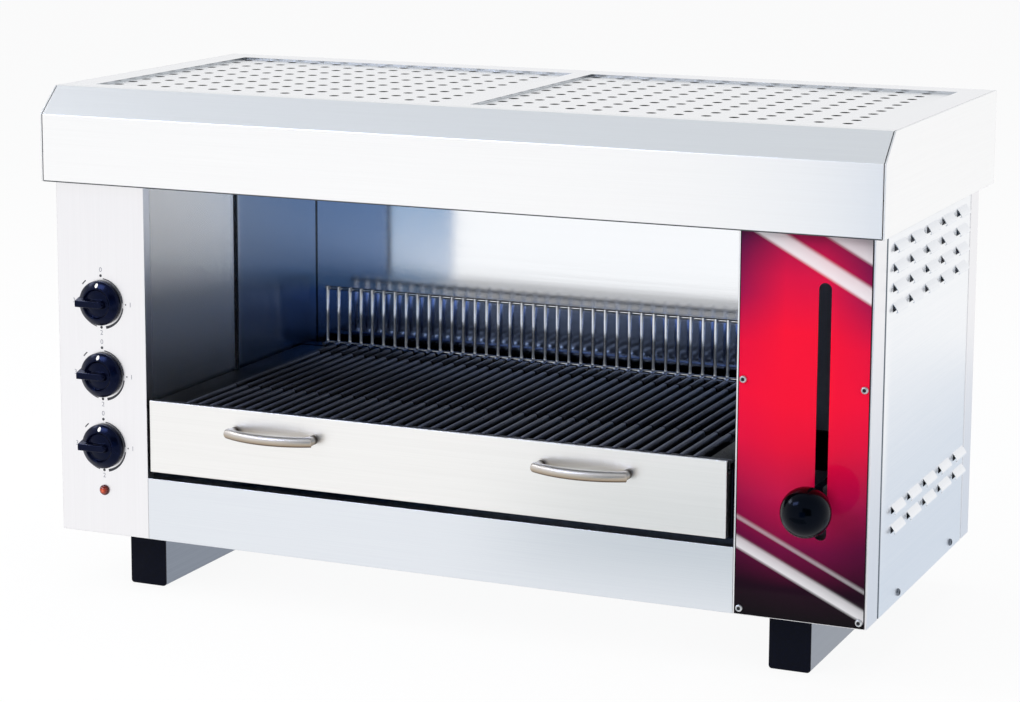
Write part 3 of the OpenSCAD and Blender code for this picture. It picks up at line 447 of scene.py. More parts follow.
def rounded_block(shape, low, high, edge, corner=0.0):
    """A block with softened edges; its corners along Y may be rounded more."""
    low, high = Vector(low), Vector(high)
    part = bmesh.new()
    bmesh.ops.create_cube(part, size=1.0, matrix=Matrix.Translation((low + high) / 2)
                          @ Matrix.Diagonal((*(high - low), 1.0)))
    if corner:
        lengthwise = [e for e in part.edges
                      if abs(e.verts[0].co.y - e.verts[1].co.y) > (high.y - low.y) * 0.9]
        bmesh.ops.bevel(part, geom=lengthwise, offset=corner, segments=6, profile=0.5, affect="EDGES",
                        clamp_overlap=True)
    if edge:
        rims = [e for e in part.edges if len(e.link_faces) == 2 and e.calc_face_angle(0) > 0.9]
        bmesh.ops.bevel(part, geom=rims, offset=edge, segments=3, profile=0.5, affect="EDGES",
                        clamp_overlap=True)
    mesh = bpy.data.meshes.new("part")
    part.to_mesh(mesh)
    part.free()
    shape.from_mesh(mesh)
    bpy.data.meshes.remove(mesh)


caps = bmesh.new()
sole_half, plug_half = 21, 17.7
for x in (-355.5, 355.5):
    for y0, y1, plug_y0, plug_y1 in ((31.0, 34.0, 33.9, 49.1), (348.0, 351.0, 332.9, 348.1)):
        rounded_block(caps, (x - sole_half, y0, -59.99), (x + sole_half, y1, -0.5), 0.9, 3.4)
        rounded_block(caps, (x - plug_half, plug_y0, -56.7), (x + plug_half, plug_y1, -2.3), 0.5, 1.0)
make_piece("leg_end_caps", caps, polythene, "cabinet", "black_polythene", "leg_caps")

# ---------------------------------------------------------------------------------------------
# Hood: folded front with its chamfer, two end cheeks, back, top frame and the two drilled grilles.
# The same satin stainless sheet, with painted shade: a dark line along the lower edge of the front, grey on
# the hood top's faces that don't face up, and near black on the grilles' hole walls and in a ring round
# each hole.
hood_steel = brushed_steel("satin_ground_stainless_hood", "#FFFFFF", "#FCFCFC", 0.30, *belt, "xy",
                           fold_mm=1.2)
finish_nodes(hood_steel, "hood_cheek_left", "hood_cheek_right", "hood_rear")
hood_front_painted_shadow = hood_steel.copy()
hood_front_painted_shadow.name = "satin_ground_stainless_painted_shadow_edge"
tree, shader = inside(hood_front_painted_shadow)
# Painted shadow: a dark grey line along the lower edge of the hood front, for the shadow in the gap above
# the columns.
hood_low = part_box("hood_front")[0].z
above_painted_shadow = rise(tree, place_in(tree)["Z"], hood_low + 0.0010, hood_low + 0.0014)
recolour(tree, shader, above_painted_shadow, "#54585C")
finish_nodes(hood_front_painted_shadow, "hood_front")

satin_top = brushed_steel("satin_ground_stainless_top", "#FBFBFB", "#F6F6F7", 0.24, *belt, "x")
hole_pitch, hole_in, hole_columns, hole_rows = 0.0282, 0.0095, 14, 11
shade_ring_start, shade_ring_end, past_hole = 0.0050, 0.0056, 0.006    # how far from a hole's middle its painted shade ring ends
# Painted shade: faces that don't face up take a darker tone, and on the grilles so does a ring round each
# hole, for the shade in the holes.
for part, painted_shade_tone in (("hood_top", "#C6CACE"), ("grille_left", "#1C191C"), ("grille_right", "#1C191C")):
    hole_shaded_steel = satin_top.copy()
    hole_shaded_steel.name = "satin_ground_stainless_" + part
    tree, shader = inside(hole_shaded_steel)
    facing = add(tree, "SeparateXYZ", {0: add(tree, "NewGeometry").outputs["True Normal"]}).outputs["Z"]
    unshaded_share = maths(tree, "GREATER_THAN", facing, 0.5)
    if part != "hood_top":
        place, (low, high) = place_in(tree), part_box(part)
        off_x = maths(tree, "SUBTRACT", place["X"], low.x + hole_in)
        off_y = maths(tree, "SUBTRACT", place["Y"], high.y - hole_in)
        near_x, near_y = [maths(tree, "PINGPONG", off, hole_pitch / 2) for off in (off_x, off_y)]
        away = add(tree, "CombineXYZ", {0: near_x, 1: near_y}).outputs[0]
        away = add(tree, "VectorMath", {0: away}, operation="LENGTH").outputs["Value"]
        past_x = maths(tree, "GREATER_THAN", off_x, (hole_columns - 1) * hole_pitch + past_hole)
        past_y = maths(tree, "LESS_THAN", off_y, -(hole_rows - 1) * hole_pitch - past_hole)
        no_hole = maths(tree, "MAXIMUM", past_x, past_y)
        off_shade_ring = maths(tree, "MAXIMUM", rise(tree, away, shade_ring_start, shade_ring_end), no_hole)
        unshaded_share = maths(tree, "MULTIPLY", unshaded_share, off_shade_ring)
    recolour(tree, shader, unshaded_share, painted_shade_tone)
    finish_nodes(hole_shaded_steel, part)

# ---------------------------------------------------------------------------------------------
# Chamber: brushed side walls, a bright annealed back wall and the ceiling shield.
# The back wall is nearly a mirror with the slight waves of thin sheet; all smear lights upright.
# The rear of the side walls and the foot of the back wall are painted blue as painted reflection, the side
# walls are painted dark near the back corner as painted shade, and a line on the back wall is dulled.
def smear_upright(material, amount, about):
    """Stretches the gloss of a flat sheet up and down; about is the axis that its tangent circles."""
    tree, shader = inside(material)
    shader.inputs["Anisotropic"].default_value = amount
    circling = add(tree, "Tangent", direction_type="RADIAL", axis=about)
    tree.links.new(circling.outputs[0], shader.inputs["Tangent"])


wall_steel = brushed_steel("belt_brushed_stainless", "#C6C8CF", "#B9BCC4", 0.26, 240, 1.6, "z", 0.03)
smear_upright(wall_steel, 0.85, "Y")
finish_nodes(wall_steel, "heat_shield")
steel_painted_blue = brushed_steel("stainless_painted_blue_reflection", "#FFFFFF", "#F4F4F6", 0.26, 240, 1.6, "z", 0.03)
smear_upright(steel_painted_blue, 0.85, "Y")
tree, shader = inside(steel_painted_blue)
depth = place_in(tree)["Y"]
painted_blue_start, painted_blue_end = 0.010, 0.036    # the depth over which the painted blue reflection grows
recolour(tree, shader, rise(tree, depth, painted_blue_start, painted_blue_end), second="#92A3BF")
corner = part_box("chamber_left")[1].y
# Painted shade: a dark line near the back corner of the side walls.
recolour(tree, shader, rise(tree, depth, corner - 0.0030, corner - 0.0026), second="#30343E")
finish_nodes(steel_painted_blue, "chamber_left", "chamber_right")

bright_steel, tree, shader = new_material("bright_annealed_stainless", "#F6F8FC", 1.0, 0.11)
smear_upright(bright_steel, 0.4, "X")
up_wall = place_in(tree)["Z"]
painted_foot_end, line_start, line_end, plain_start = 0.260, 0.270, 0.280, 0.290    # heights on the back wall: where the painted blue foot ends, the dull line, and plain sheet
above_painted_foot = rise(tree, up_wall, painted_foot_end, line_start)
# Painted reflection: the foot of the back wall is painted blue.
tree.links.new(blend_colours(tree, above_painted_foot, "#BED3FF", "#F8FAFD"), shader.inputs["Base Color"])
dull_share = maths(tree, "MULTIPLY", above_painted_foot, rise(tree, up_wall, plain_start, line_end))
waves = add(tree, "TexNoise", {"Vector": add(tree, "TexCoord").outputs["Object"], "Scale": 5.0,
                               "Detail": 1.0})
relief(tree, shader, waves.outputs[0], 0.12, 2.0)
gloss = spread_over(tree, stretched_noise(tree, 300, 3, "x"), 0.08, 0.12)
tree.links.new(maths(tree, "MULTIPLY_ADD", dull_share, 0.09, gloss), shader.inputs["Roughness"])
finish_nodes(bright_steel, "chamber_back")

# ---------------------------------------------------------------------------------------------
# Insulation: a felted mineral wool pad over the ceiling shield, soft and yellowish, laid loose.
# Heating elements: nickel-alloy tube bent into passes, baked to a dark mottled oxide.
wool, tree, shader = new_material("felted_mineral_wool", "#4A4230", 0.0, 0.95)
fibres = stretched_noise(tree, 12, 1.5, "x", 4.0)
tree.links.new(blend_colours(tree, spread_over(tree, fibres, 0.0, 1.0), "#352F22", "#5A5038"),
               shader.inputs["Base Color"])
relief(tree, shader, fibres, 0.8, 1.0)
finish_nodes(wool, "insulation")
oxidised = mottled("oxidised_nickel_alloy", "#4A4540", "#2B2826", 1.0, 0.45, 0.65, 6, 0.3)
finish_nodes(oxidised, "element_front", "element_middle", "element_rear")
finish_nodes(zinc, "element_hangers", "rod_brackets", "handle_screws", "drip_tray")

# ---------------------------------------------------------------------------------------------
# Lift: ground guide rods, aluminium slider blocks with bronze bushes and nylon brake pads, and
# the enamelled frame that carries the grid.
ground = brushed_steel("ground_steel", "#D2D2D6", "#C4C4CA", 0.14, 40, 0.8, "xy", 0.05)
finish_nodes(ground, "guide_rods", "shaft_top", "shaft_middle", "shaft_bottom")
aluminium = brushed_steel("milled_aluminium", "#C9CBCC", "#B4B7B9", 0.32, 60, 1.5, "x", 0.2)
finish_nodes(aluminium, "slider_blocks")
finish_nodes(mottled("sintered_bronze", "#B98D4E", "#8C6634", 1.0, 0.40, 0.55, 1.5, 0.4), "slide_bushes")
nylon = mottled("moulded_nylon", "#E3DFD2", "#D3CEBF", 0.0, 0.40, 0.50, 5, 0.1)
finish_nodes(nylon, "friction_brakes", "lamp_body")
enamel = mottled("black_vitreous_enamel", "#04060F", "#03040A", 0.0, 0.14, 0.22, 8, 0.1,
                 **{"Specular IOR Level": 0.12, "Specular Tint": srgb("#A9B8E8")})
finish_nodes(enamel, "lift_frame", "lever_bar")


# ---------------------------------------------------------------------------------------------
# Wire guard: 4.5 mm drawn stainless wires with rounded tips, spot welded to an upper and a lower
# rod behind them, with short toes at the foot. The drawn skin gives each a bright and a dark side.
def bar_along(shape, points, radii, sides=12):
    """A round bar along a line of points, closed at both ends, with one radius for each point."""
    points = [Vector(p) for p in points]
    side = (points[1] - points[0]).normalized().orthogonal().normalized()
    rings = []
    for index, point in enumerate(points):
        before, after = points[max(index - 1, 0)], points[min(index + 1, len(points) - 1)]
        heading = (after - before).normalized()
        side = (side - heading * side.dot(heading)).normalized()
        other = heading.cross(side)
        rings.append([shape.verts.new(point + (side * math.cos(a) + other * math.sin(a)) * radii[index])
                      for a in (2 * math.pi * s / sides for s in range(sides))])
    for near, far in zip(rings, rings[1:]):
        for step in range(sides):
            shape.faces.new((near[step], near[step - 1], far[step - 1], far[step]))
    shape.faces.new(rings[0])
    shape.faces.new(rings[-1][::-1])


wire_skin = brushed_steel("drawn_stainless_wire", "#FFFFFF", "#F0F4FC", 0.17, 40, 0.8, "z", 0.05)
guard = bmesh.new()
wire_r, wire_y, wire_pitch, toe_z, toe_r = 2.1, 348.0, 14.2, 148.3, 4.0
wire_xs = [-303.0 + wire_pitch * i for i in range(42)]
for x in wire_xs:
    tip = [(x, wire_y, z) for z in (214.8, 214.5, 213.8, 180)]
    bend = [(x, wire_y - toe_r * (1 - math.cos(a)), toe_z + toe_r * (1 - math.sin(a)))
            for a in (math.radians(d) for d in range(0, 91, 18))]
    toe = [(x, y, toe_z) for y in (339, 337.2)]
    bar_along(guard, tip + bend + toe, [0.9, 1.7] + [wire_r] * 10)
rod_x0, rod_x1, rod_y = wire_xs[0] - 4.5, wire_xs[-1] + 4.5, wire_y + 3.9
for z, radius in ((toe_z, 1.8), (211.5, 2.1)):
    bar_along(guard, [(rod_x0, rod_y, z), (rod_x1, rod_y, z)], [radius] * 2, 16)
make_piece("guard_wires", guard, wire_skin, "lift", "stainless_wire", "wire_guard")

# ---------------------------------------------------------------------------------------------
# Cast grid: grey iron cast in green sand, with round-topped ribs between two plain strips, three
# ties below and a front rim. Oil is baked on, with a grainy, dull shine; the rib sides are painted near
# black as painted shade, and the crowns keep a lighter grey-blue as painted highlight.
iron = mottled("seasoned_cast_iron", "#5A5F70", "#303442", 0.0, 0.26, 0.40, 2.5, 0.6,
               **{"Specular IOR Level": 0.5})
tree, shader = inside(iron)
side_shade_end, lit_crown_start = 0.2082, 0.2099    # how high the painted shade on the sides of the ribs reaches
# Painted shade on the rib sides, below the lighter crowns.
recolour(tree, shader, rise(tree, place_in(tree)["Z"], side_shade_end, lit_crown_start), "#050609")
grid = bmesh.new()
grid_x0, grid_x1, grid_y0, grid_y1, grid_z, rib_top = -330.5, 302.5, 0.5, 335, 140.2, 150.0
first_rib, rib_pitch, rib_count, rib_half = -288.0, 13.85, 41, 3.5
left_strip_x = first_rib - rib_pitch + rib_half
right_strip_x = first_rib + rib_pitch * rib_count - rib_half
strip_top = grid_z + 6
rounded_block(grid, (grid_x0, grid_y0, grid_z), (left_strip_x, grid_y1, strip_top), 1.0)
rounded_block(grid, (right_strip_x, grid_y0, grid_z), (grid_x1, grid_y1, strip_top), 1.0)
rounded_block(grid, (grid_x0, grid_y0, grid_z), (grid_x1, 9.5, 148.5), 1.6)
tie_ys, tie_half = (104, 296, 327), 7.9
for y in tie_ys:
    rounded_block(grid, (-329, y - tie_half, grid_z), (301, y + tie_half, 144.2), 0.8)
half_rib = [(rib_half, 140.4), (3.2, 146.5), (2.7, 148.7), (1.9, 149.7), (0.8, rib_top)]
rib_shape = [(-u, z) for u, z in half_rib] + half_rib[::-1]
for number in range(rib_count):
    x = first_rib + rib_pitch * number
    for y0, y1 in ((3.0, 102.3), (105.7, 294.3), (297.7, 334.6)):
        rings = []
        for y, shrink, top in ((y0, 0.9, rib_top - 0.8), (y0 + 0.8, 1.0, rib_top), (y1 - 0.8, 1.0, rib_top),
                               (y1, 0.9, rib_top - 0.8)):
            rings.append([grid.verts.new((x + u * shrink, y, min(z, top))) for u, z in rib_shape])
        for near, far in zip(rings, rings[1:]):
            for a in range(len(rib_shape)):
                grid.faces.new((near[a], near[a - 1], far[a - 1], far[a]))
        grid.faces.new(rings[0])
        grid.faces.new(rings[-1][::-1])
    for y in tie_ys[:2]:
        rounded_block(grid, (x - 3.3, y - 2.2, 141), (x + 3.3, y + 2.2, 145.2), 0)
make_piece("ribbed_grid", grid, iron, "lift", "cast_iron", "cast_grid")

# ---------------------------------------------------------------------------------------------
# Lever ball: 48 mm black phenolic ball pressed on the end of the lever, polished all over.
# It is almost black with small, sharp window reflections.
phenolic = mottled("moulded_phenolic", "#010204", "#010203", 0.0, 0.12, 0.16, 10, 0.02,
                   **{"Specular IOR Level": 0.15, "Specular Tint": srgb("#9DB0E0")})
ball = bmesh.new()
ball_r = 23.99
profile = [(0, -ball_r)] + [(ball_r * math.sin(a), -ball_r * math.cos(a))
                            for a in (math.radians(d) for d in range(4, 149, 4))]
neck = profile[-1][1]
profile += [(11.6, neck + 1.2), (11, neck + 2.4), (11, 38.2), (10.5, 38.7), (5.1, 38.7), (5.1, 8)]
turned(ball, (392.5, -47, 120), (0, 1, 0), profile, 72)
make_piece("lever_ball", ball, phenolic, "lift", "black_phenolic", "ball_knob")

# ---------------------------------------------------------------------------------------------
# Lever plate: 1 mm steel, screen printed with a gloss ink that runs from plum at both ends to red
# in the middle, with slanted white bands and a thin dark line at the left and right edges as painted shade.
# The ink mirrors faintly at its surface.
def ramp(tree, factor, stops):
    """A colour ramp through (position, hex code) stops."""
    node = add(tree, "ValToRGB", {0: factor})
    while len(node.color_ramp.elements) < len(stops):
        node.color_ramp.elements.new(0.5)
    for element, (position, code) in zip(node.color_ramp.elements, stops):
        element.position, element.color = position, srgb(code)
    return node.outputs[0]


plate_low, plate_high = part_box("lever_plate")
printed_steel, tree, shader = new_material("screen_printed_steel", "#E81B38", 0.0, 0.05,
                                           **{"Specular IOR Level": 0.09})
place = place_in(tree)
across = rise(tree, place["X"], plate_low.x, plate_high.x)
upward = rise(tree, place["Z"], plate_low.z, plate_high.z)
upper_slant, lower_slant = [maths(tree, "ADD", upward, maths(tree, "MULTIPLY", across, slope))
                            for slope in (0.16, 0.14)]
middle = ramp(tree, upward, [(0.0, "#0A050C"), (0.07, "#200619"), (0.16, "#6C0A3C"), (0.27, "#C01048"),
                             (0.38, "#E80A38"), (0.48, "#F60A34"), (0.64, "#F60A34"), (0.76, "#D80C42"),
                             (0.87, "#8C0C48"), (1.0, "#3E0C34")])
edges = ramp(tree, upward, [(0.0, "#050409"), (0.08, "#1E0618"), (0.18, "#5C0838"), (0.27, "#980C42"),
                            (0.40, "#E0083C"), (0.50, "#F20838"), (0.61, "#E4083A"), (0.72, "#960C48"),
                            (0.84, "#4C0C40"), (1.0, "#220A26")])
off_centre = maths(tree, "ABSOLUTE", maths(tree, "SUBTRACT", across, 0.5))
inks = blend_colours(tree, rise(tree, off_centre, 0.15, 0.5), middle, edges)
upper_bands = ramp(tree, upper_slant, [
    (0.0, "#000000"), (0.868, "#000000"), (0.876, "#F0F0F0"), (0.904, "#D8D8D8"), (0.912, "#000000"),
    (0.955, "#000000"), (0.962, "#E0E0E0"), (1.0, "#B0B0B0")])
lower_bands = ramp(tree, lower_slant, [
    (0.0, "#000000"), (0.150, "#000000"), (0.156, "#E8E8E8"), (0.176, "#C8C8C8"), (0.184, "#000000"),
    (0.215, "#000000"), (0.219, "#9A9A9A"), (0.224, "#9A9A9A"), (0.228, "#000000"), (1.0, "#000000")])
printed = blend_colours(tree, maths(tree, "MAXIMUM", upper_bands, lower_bands), inks, "#F6F4F6")
# Painted shade: a thin dark line along the left and right edges of the plate.
painted_edge_shade = maths(tree, "GREATER_THAN", off_centre, 0.4925)
tree.links.new(blend_colours(tree, painted_edge_shade, printed, "#160A14"), shader.inputs["Base Color"])
uneven = stretched_noise(tree, 20, 20, "")
tree.links.new(spread_over(tree, uneven, 0.04, 0.07), shader.inputs["Roughness"])
finish_nodes(printed_steel, "lever_plate")

# ---------------------------------------------------------------------------------------------
# Drawer: folded satin stainless front with the tray behind it, and two bowed bar handles with
# round posts, die-cast and plated in satin nickel. Their colour is painted with light and shade: a bright
# top, a dark warm underside and dark backs near the drawer.
satin_drawer = brushed_steel("satin_ground_stainless_drawer", "#F8F7F5", "#F4F3F1", 0.32, *belt, "x",
                             fold_mm=1.5)
finish_nodes(satin_drawer, "drawer_front")
nickel = brushed_steel("satin_nickel_plate", "#EAE6E0", "#E2DDD6", 0.42, 60, 0.8, "x", 0.03)
tree, shader = inside(nickel)
# Painted light and shade: the colour runs from dark brown on faces that face down to near white on faces
# that face up.
facing = add(tree, "SeparateXYZ", {0: add(tree, "NewGeometry").outputs["Normal"]}).outputs["Z"]
nickel_painted_light_shade = ramp(tree, rise(tree, facing, -1.0, 1.0), [
    (0.0, "#3A2A20"), (0.14, "#5E4A3C"), (0.24, "#B4A694"), (0.42, "#D2C8BC"), (0.62, "#E6E3E0"),
    (1.0, "#F0F0F2")])
shade_start, shade_end = -0.1815, -0.1780    # the depth at which the back of a bow turns dark with painted shade
nickel_painted_light_shade = blend_colours(tree, rise(tree, place_in(tree)["Y"], shade_start, shade_end), nickel_painted_light_shade, "#4E443C")
grained = add(tree, "Mix", {0: 1.0, 6: nickel_painted_light_shade, 7: shader.inputs["Base Color"].links[0].from_socket},
              data_type="RGBA", blend_type="MULTIPLY").outputs[2]
tree.links.new(grained, shader.inputs["Base Color"])
handles = bmesh.new()
bow_centre, bow_r, bow_half, bow_steps, bar_r, bar_z, end_r = 69.55, 97.55, 28.97, 40, 5.25, 126.5, 0.9
post_at, post_r, post_l = 45, 4.75, 12.5
for x in (-183.5, 155.5):
    leans = [math.radians(bow_half * (2 * step / bow_steps - 1)) for step in range(bow_steps + 1)]
    path = [Vector((x + bow_r * math.sin(a), bow_centre - bow_r * math.cos(a), bar_z)) for a in leans]
    rounding = [math.radians(d) for d in (30, 60, 90)]
    ends = [[tip + (tip - back).normalized() * end_r * math.sin(a) for a in rounding]
            for tip, back in ((path[0], path[1]), (path[-1], path[-2]))]
    end_radii = [bar_r - end_r + end_r * math.cos(a) for a in rounding]
    bar_along(handles, ends[0][::-1] + path + ends[1],
              end_radii[::-1] + [bar_r] * len(path) + end_radii, 28)
    for side in (-1, 1):
        turned(handles, (x + side * post_at, -5, bar_z), (0, -1, 0),
               [(0, 0), (post_r, 0), (post_r, post_l), (0, post_l)])
make_piece("handle_bars", handles, nickel, "drawer", "satin_nickel", "bow_handles")


# ---------------------------------------------------------------------------------------------
# Switch dials, pad printed on the column in black ink: part rings, dots and plain step numbers
# round each knob. The ink is thin, even and slightly matt.
dial_ink = mottled("pad_printed_ink", "#3A3B42", "#303138", 0.0, 0.45, 0.55, 2, 0.02)
dial_x, dial_zs, ink_y = -388.0, (94.5, 170.7, 246.9), -0.07


def clock(z, hour, radius):
    """A place on a dial by its hour and radius."""
    angle = math.radians(90 - hour * 30)
    return Vector((dial_x + radius * math.cos(angle), ink_y, z + radius * math.sin(angle)))


def printed_arc(shape, z, first, last, radius, widths):
    """A printed arc between two hours, whose width may change on the way."""
    steps = max(6, int(abs(last - first) * 8))
    inner, outer = [], []
    for step in range(steps + 1):
        part = step / steps
        width = widths[0] + (widths[1] - widths[0]) * part
        hour = first + (last - first) * part
        inner.append(shape.verts.new(clock(z, hour, radius - width / 2)))
        outer.append(shape.verts.new(clock(z, hour, radius + width / 2)))
    for a in range(steps):
        shape.faces.new((inner[a], inner[a + 1], outer[a + 1], outer[a]))


def printed_dot(shape, centre, radius):
    """A printed round dot."""
    ring = [shape.verts.new(centre + Vector((radius * math.cos(a), 0, radius * math.sin(a))))
            for a in (2 * math.pi * s / 20 for s in range(20))]
    shape.faces.new(ring)


def printed_number(shape, text, centre):
    """A printed number 7 mm high, drawn with the plain built-in letter outlines."""
    curve = bpy.data.curves.new("number", "FONT")
    curve.body, curve.size, curve.align_x, curve.align_y = text, 7.0, "CENTER", "CENTER"
    holder = bpy.data.objects.new("number", curve)
    flat = bpy.data.meshes.new_from_object(holder)
    flat.transform(Matrix.Translation(centre) @ Matrix.Rotation(math.pi / 2, 4, "X"))
    shape.from_mesh(flat)
    bpy.data.objects.remove(holder)
    bpy.data.curves.remove(curve)
    bpy.data.meshes.remove(flat)


prints = bmesh.new()
for z in dial_zs:
    printed_arc(prints, z, 0.2, 2.9, 25.6, (1.0, 1.5))
    printed_arc(prints, z, 3.3, 5.6, 26.4, (1.2, 3.0))
    printed_arc(prints, z, 6.4, 7.6, 25.8, (0.9, 0.7))
    printed_dot(prints, clock(z, 0, 28.5), 1.5)
    printed_dot(prints, clock(z, 3, 29.4), 0.8)
    printed_dot(prints, clock(z, 6, 26.0), 1.5)
    printed_dot(prints, clock(z, 9, 27.0), 1.2)
    printed_arc(prints, z, 10.3, 10.7, 28.6, (1.2, 1.2))
make_piece("dial_marks", prints, dial_ink, "cabinet", "black_phenolic")
pale_ink = mottled("pad_printed_pale_ink", "#9B9CA6", "#8F909A", 0.0, 0.45, 0.55, 2, 0.02)
numbers = bmesh.new()
for z in dial_zs:
    for text, hour, radius in (("0", 0, 34.6), ("1", 3, 35.0), ("2", 6, 31.8), ("3", 9, 32.6)):
        printed_number(numbers, text, clock(z, hour, radius))
make_piece("dial_numbers", numbers, pale_ink, "cabinet", "black_phenolic")


# ---------------------------------------------------------------------------------------------
# Switch knobs: 47 mm black phenolic, pressed with a domed rim, a dished middle and a drafted grip
# bar that runs from the rim past the middle, and a white paint mark at the top.
knob_r, dome_r, dome_top, rim_r = 23.5, 35, 14.5, 1.2     # face, its dome and the rounding of its rim
dish_r, dish_edge, dish_deep = 16.2, 2.8, 3.6             # the dished middle and the width of its edge
bar_top, bar_half, bar_end, edge_r = 17.0, 3.4, 6.6, 0.8  # the grip bar and the rounding of its edge
bar_reach, bar_fall = 21.9, 0.02                          # how far out it runs, and how it slopes
flank_at, flank_top, flank_slope = 0.78, 16.38, 5.2       # where its flank starts, and how steep it is
fillet, fillet_lift = 1.6, 0.4                            # where the bar and the dome run together


def knob_height(u, w):
    """How far the knob stands off the column at a place on its face."""
    radius = math.hypot(u, w)
    dome = dome_top - dome_r + math.sqrt(dome_r ** 2 - min(radius, knob_r) ** 2)
    if radius > knob_r - rim_r:
        dome -= rim_r - math.sqrt(max(rim_r ** 2 - (radius - knob_r + rim_r) ** 2, 0))
    dish = min(max((dish_r - radius) / dish_edge, 0), 1)
    dome -= dish_deep * dish * dish * (3 - 2 * dish)
    beside = max(math.hypot(u - min(u, bar_end), w) - bar_half, radius - bar_reach) + edge_r
    if beside < flank_at:
        bar = bar_top - edge_r + math.sqrt(edge_r ** 2 - max(beside, 0) ** 2)
    else:
        bar = flank_top - (beside - flank_at) * flank_slope
    bar -= bar_fall * max(u + 22, 0)
    blend = max(fillet - abs(dome - bar), 0) / fillet
    return max(dome, bar) + blend * blend * fillet_lift


rows = [0, 1.4, 2.3, 2.8, 3.1, 3.4, 3.7, 4.0, 4.4, 4.9, 5.5, 6.3, 7.6, 9.2, 10.8, 12.2, 13.2, 14, 14.8,
        15.6, 16.6, 18.6, 20.4, 21.8, 22.7, 23.2, 23.45]
rows = [-w for w in rows[:0:-1]] + rows
columns = 72


def knob_form(shape, z):
    """A height field over the round face, with its side wall and back."""
    net = []
    for w in rows:
        half = math.sqrt(knob_r ** 2 - w ** 2)
        line = []
        for step in range(columns + 1):
            part = 2 * step / columns - 1
            u = half * (0.55 * math.sin(math.pi / 2 * part) + 0.45 * part)
            line.append(shape.verts.new((dial_x + u, -knob_height(u, w), z + w)))
        net.append(line)
    for low, high in zip(net, net[1:]):
        for step in range(columns):
            shape.faces.new((low[step], low[step + 1], high[step + 1], high[step]))
    rim = [e for e in shape.edges if len(e.link_faces) == 1]
    wall = bmesh.ops.extrude_edge_only(shape, edges=rim)["geom"]
    back = [v for v in wall if isinstance(v, bmesh.types.BMVert)]
    for v in back:
        v.co.y = -1.5
    bmesh.ops.contextual_create(shape, geom=[e for e in wall if isinstance(e, bmesh.types.BMEdge)])


def paint_mark(shape, z, sides=24):
    """The white oval at the top of a knob, two rings laid just over its face."""
    rings = []
    for size in (1.0, 0.55):
        flat = [(1.75 * size * math.cos(a), 19.3 + 2.3 * size * math.sin(a))
                for a in (2 * math.pi * step / sides for step in range(sides))]
        rings.append([shape.verts.new((dial_x + u, -knob_height(u, w) - 0.05, z + w)) for u, w in flat])
    outer, inner = rings
    for step in range(sides):
        shape.faces.new((outer[step], outer[step - 1], inner[step - 1], inner[step]))
    shape.faces.new(inner)


knob_black = mottled("moulded_phenolic_blue_black", "#04061A", "#030512", 0.0, 0.18, 0.24, 10, 0.02,
                     **{"Specular IOR Level": 0.27, "Specular Tint": srgb("#8CA0E8")})
white_paint = mottled("filled_white_paint", "#F2F1EC", "#E9E8E2", 0.0, 0.35, 0.45, 3, 0.05)
for label, z in zip(("bottom", "middle", "top"), dial_zs):
    knob = bmesh.new()
    knob_form(knob, z)
    make_piece(label + "_knob", knob, knob_black, label + "_control", "black_phenolic", "knob_" + label,
               sharp=55)
    mark = bmesh.new()
    paint_mark(mark, z)
    make_piece(label + "_knob_mark", mark, white_paint, label + "_control", "black_phenolic")

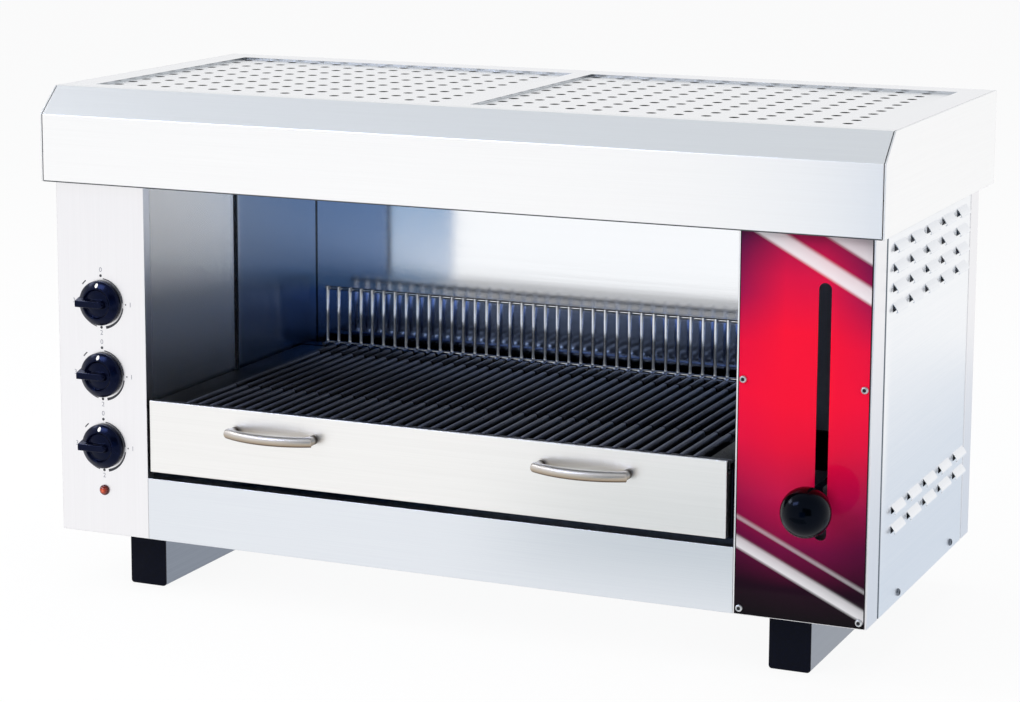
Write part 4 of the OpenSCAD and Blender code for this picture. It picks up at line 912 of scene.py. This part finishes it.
# ---------------------------------------------------------------------------------------------
# Pilot lamp: a snap-in neon behind a domed lens moulded in translucent amber-red polycarbonate.
# Its colour is painted with a glow, brightest in the middle, and with painted shade that darkens to the
# rim.
lens_red = mottled("moulded_polycarbonate", "#B8431C", "#9A3010", 0.0, 0.10, 0.15, 2, 0.05,
                   **{"Subsurface Weight": 0.2, "Subsurface Scale": 0.002})
tree, shader = inside(lens_red)
glow_x, glow_z, glow_r = -0.3875, 0.1072, 0.0052    # where the painted glow is brightest, and how far it fades
spot = place_in(tree)
off_x, off_z = maths(tree, "SUBTRACT", spot["X"], glow_x), maths(tree, "SUBTRACT", spot["Z"], glow_z)
squares = maths(tree, "MULTIPLY_ADD", off_z, off_z, maths(tree, "MULTIPLY", off_x, off_x))
painted_glow_share = rise(tree, maths(tree, "SQRT", squares), 0.0, glow_r)
# Painted glow and painted shade: the lens colour runs from a bright middle to a dark rim.
tree.links.new(ramp(tree, painted_glow_share, [(0.0, "#E4704E"), (0.3, "#C24A28"), (0.6, "#84230C"),
                                        (1.0, "#3A0C06")]), shader.inputs["Base Color"])
lens_rim = mottled("moulded_polycarbonate_rim", "#5A2018", "#4A1A12", 0.0, 0.18, 0.25, 2, 0.05)
lens_r, lamp_at = 4.6, (dial_x, 0, 47)
lens, rim = bmesh.new(), bmesh.new()
curve = [(lens_r * math.sin(a), 1.4 + 4.5 * math.cos(a))
         for a in (math.radians(d) for d in range(10, 91, 10))]
turned(lens, lamp_at, (0, -1, 0), [(0, 5.9)] + curve + [(lens_r, 0)], 40)
make_piece("lamp_dome", lens, lens_red, "cabinet", "lamp_lens", "lamp_lens")
turned(rim, lamp_at, (0, -1, 0),
       [(4.5, 0), (4.5, 1.7), (4.9, 1.9), (5.3, 1.6), (5.5, 1.1), (5.5, 0), (4.5, 0)], 40)
make_piece("lamp_rim", rim, lens_rim, "cabinet", "lamp_lens")

# ---------------------------------------------------------------------------------------------
# Switches, terminal block, gland and wiring inside and behind the control column: moulded
# phenolic bodies, an unglazed steatite block, a polythene gland and silicone-sleeved wires.
switch_body = mottled("moulded_switch_body", "#2A2B2E", "#1E1F22", 0.0, 0.45, 0.55, 6, 0.2)
steatite = mottled("unglazed_steatite", "#E4DFD2", "#D6D0C2", 0.0, 0.60, 0.70, 4, 0.2)
silicone = mottled("silicone_rubber", "#6E1A14", "#57120E", 0.0, 0.55, 0.65, 3, 0.2)
finish_nodes(switch_body, "power_switches")
finish_nodes(steatite, "terminal_block")
finish_nodes(polythene, "cable_gland")
finish_nodes(silicone, "wire_loom")
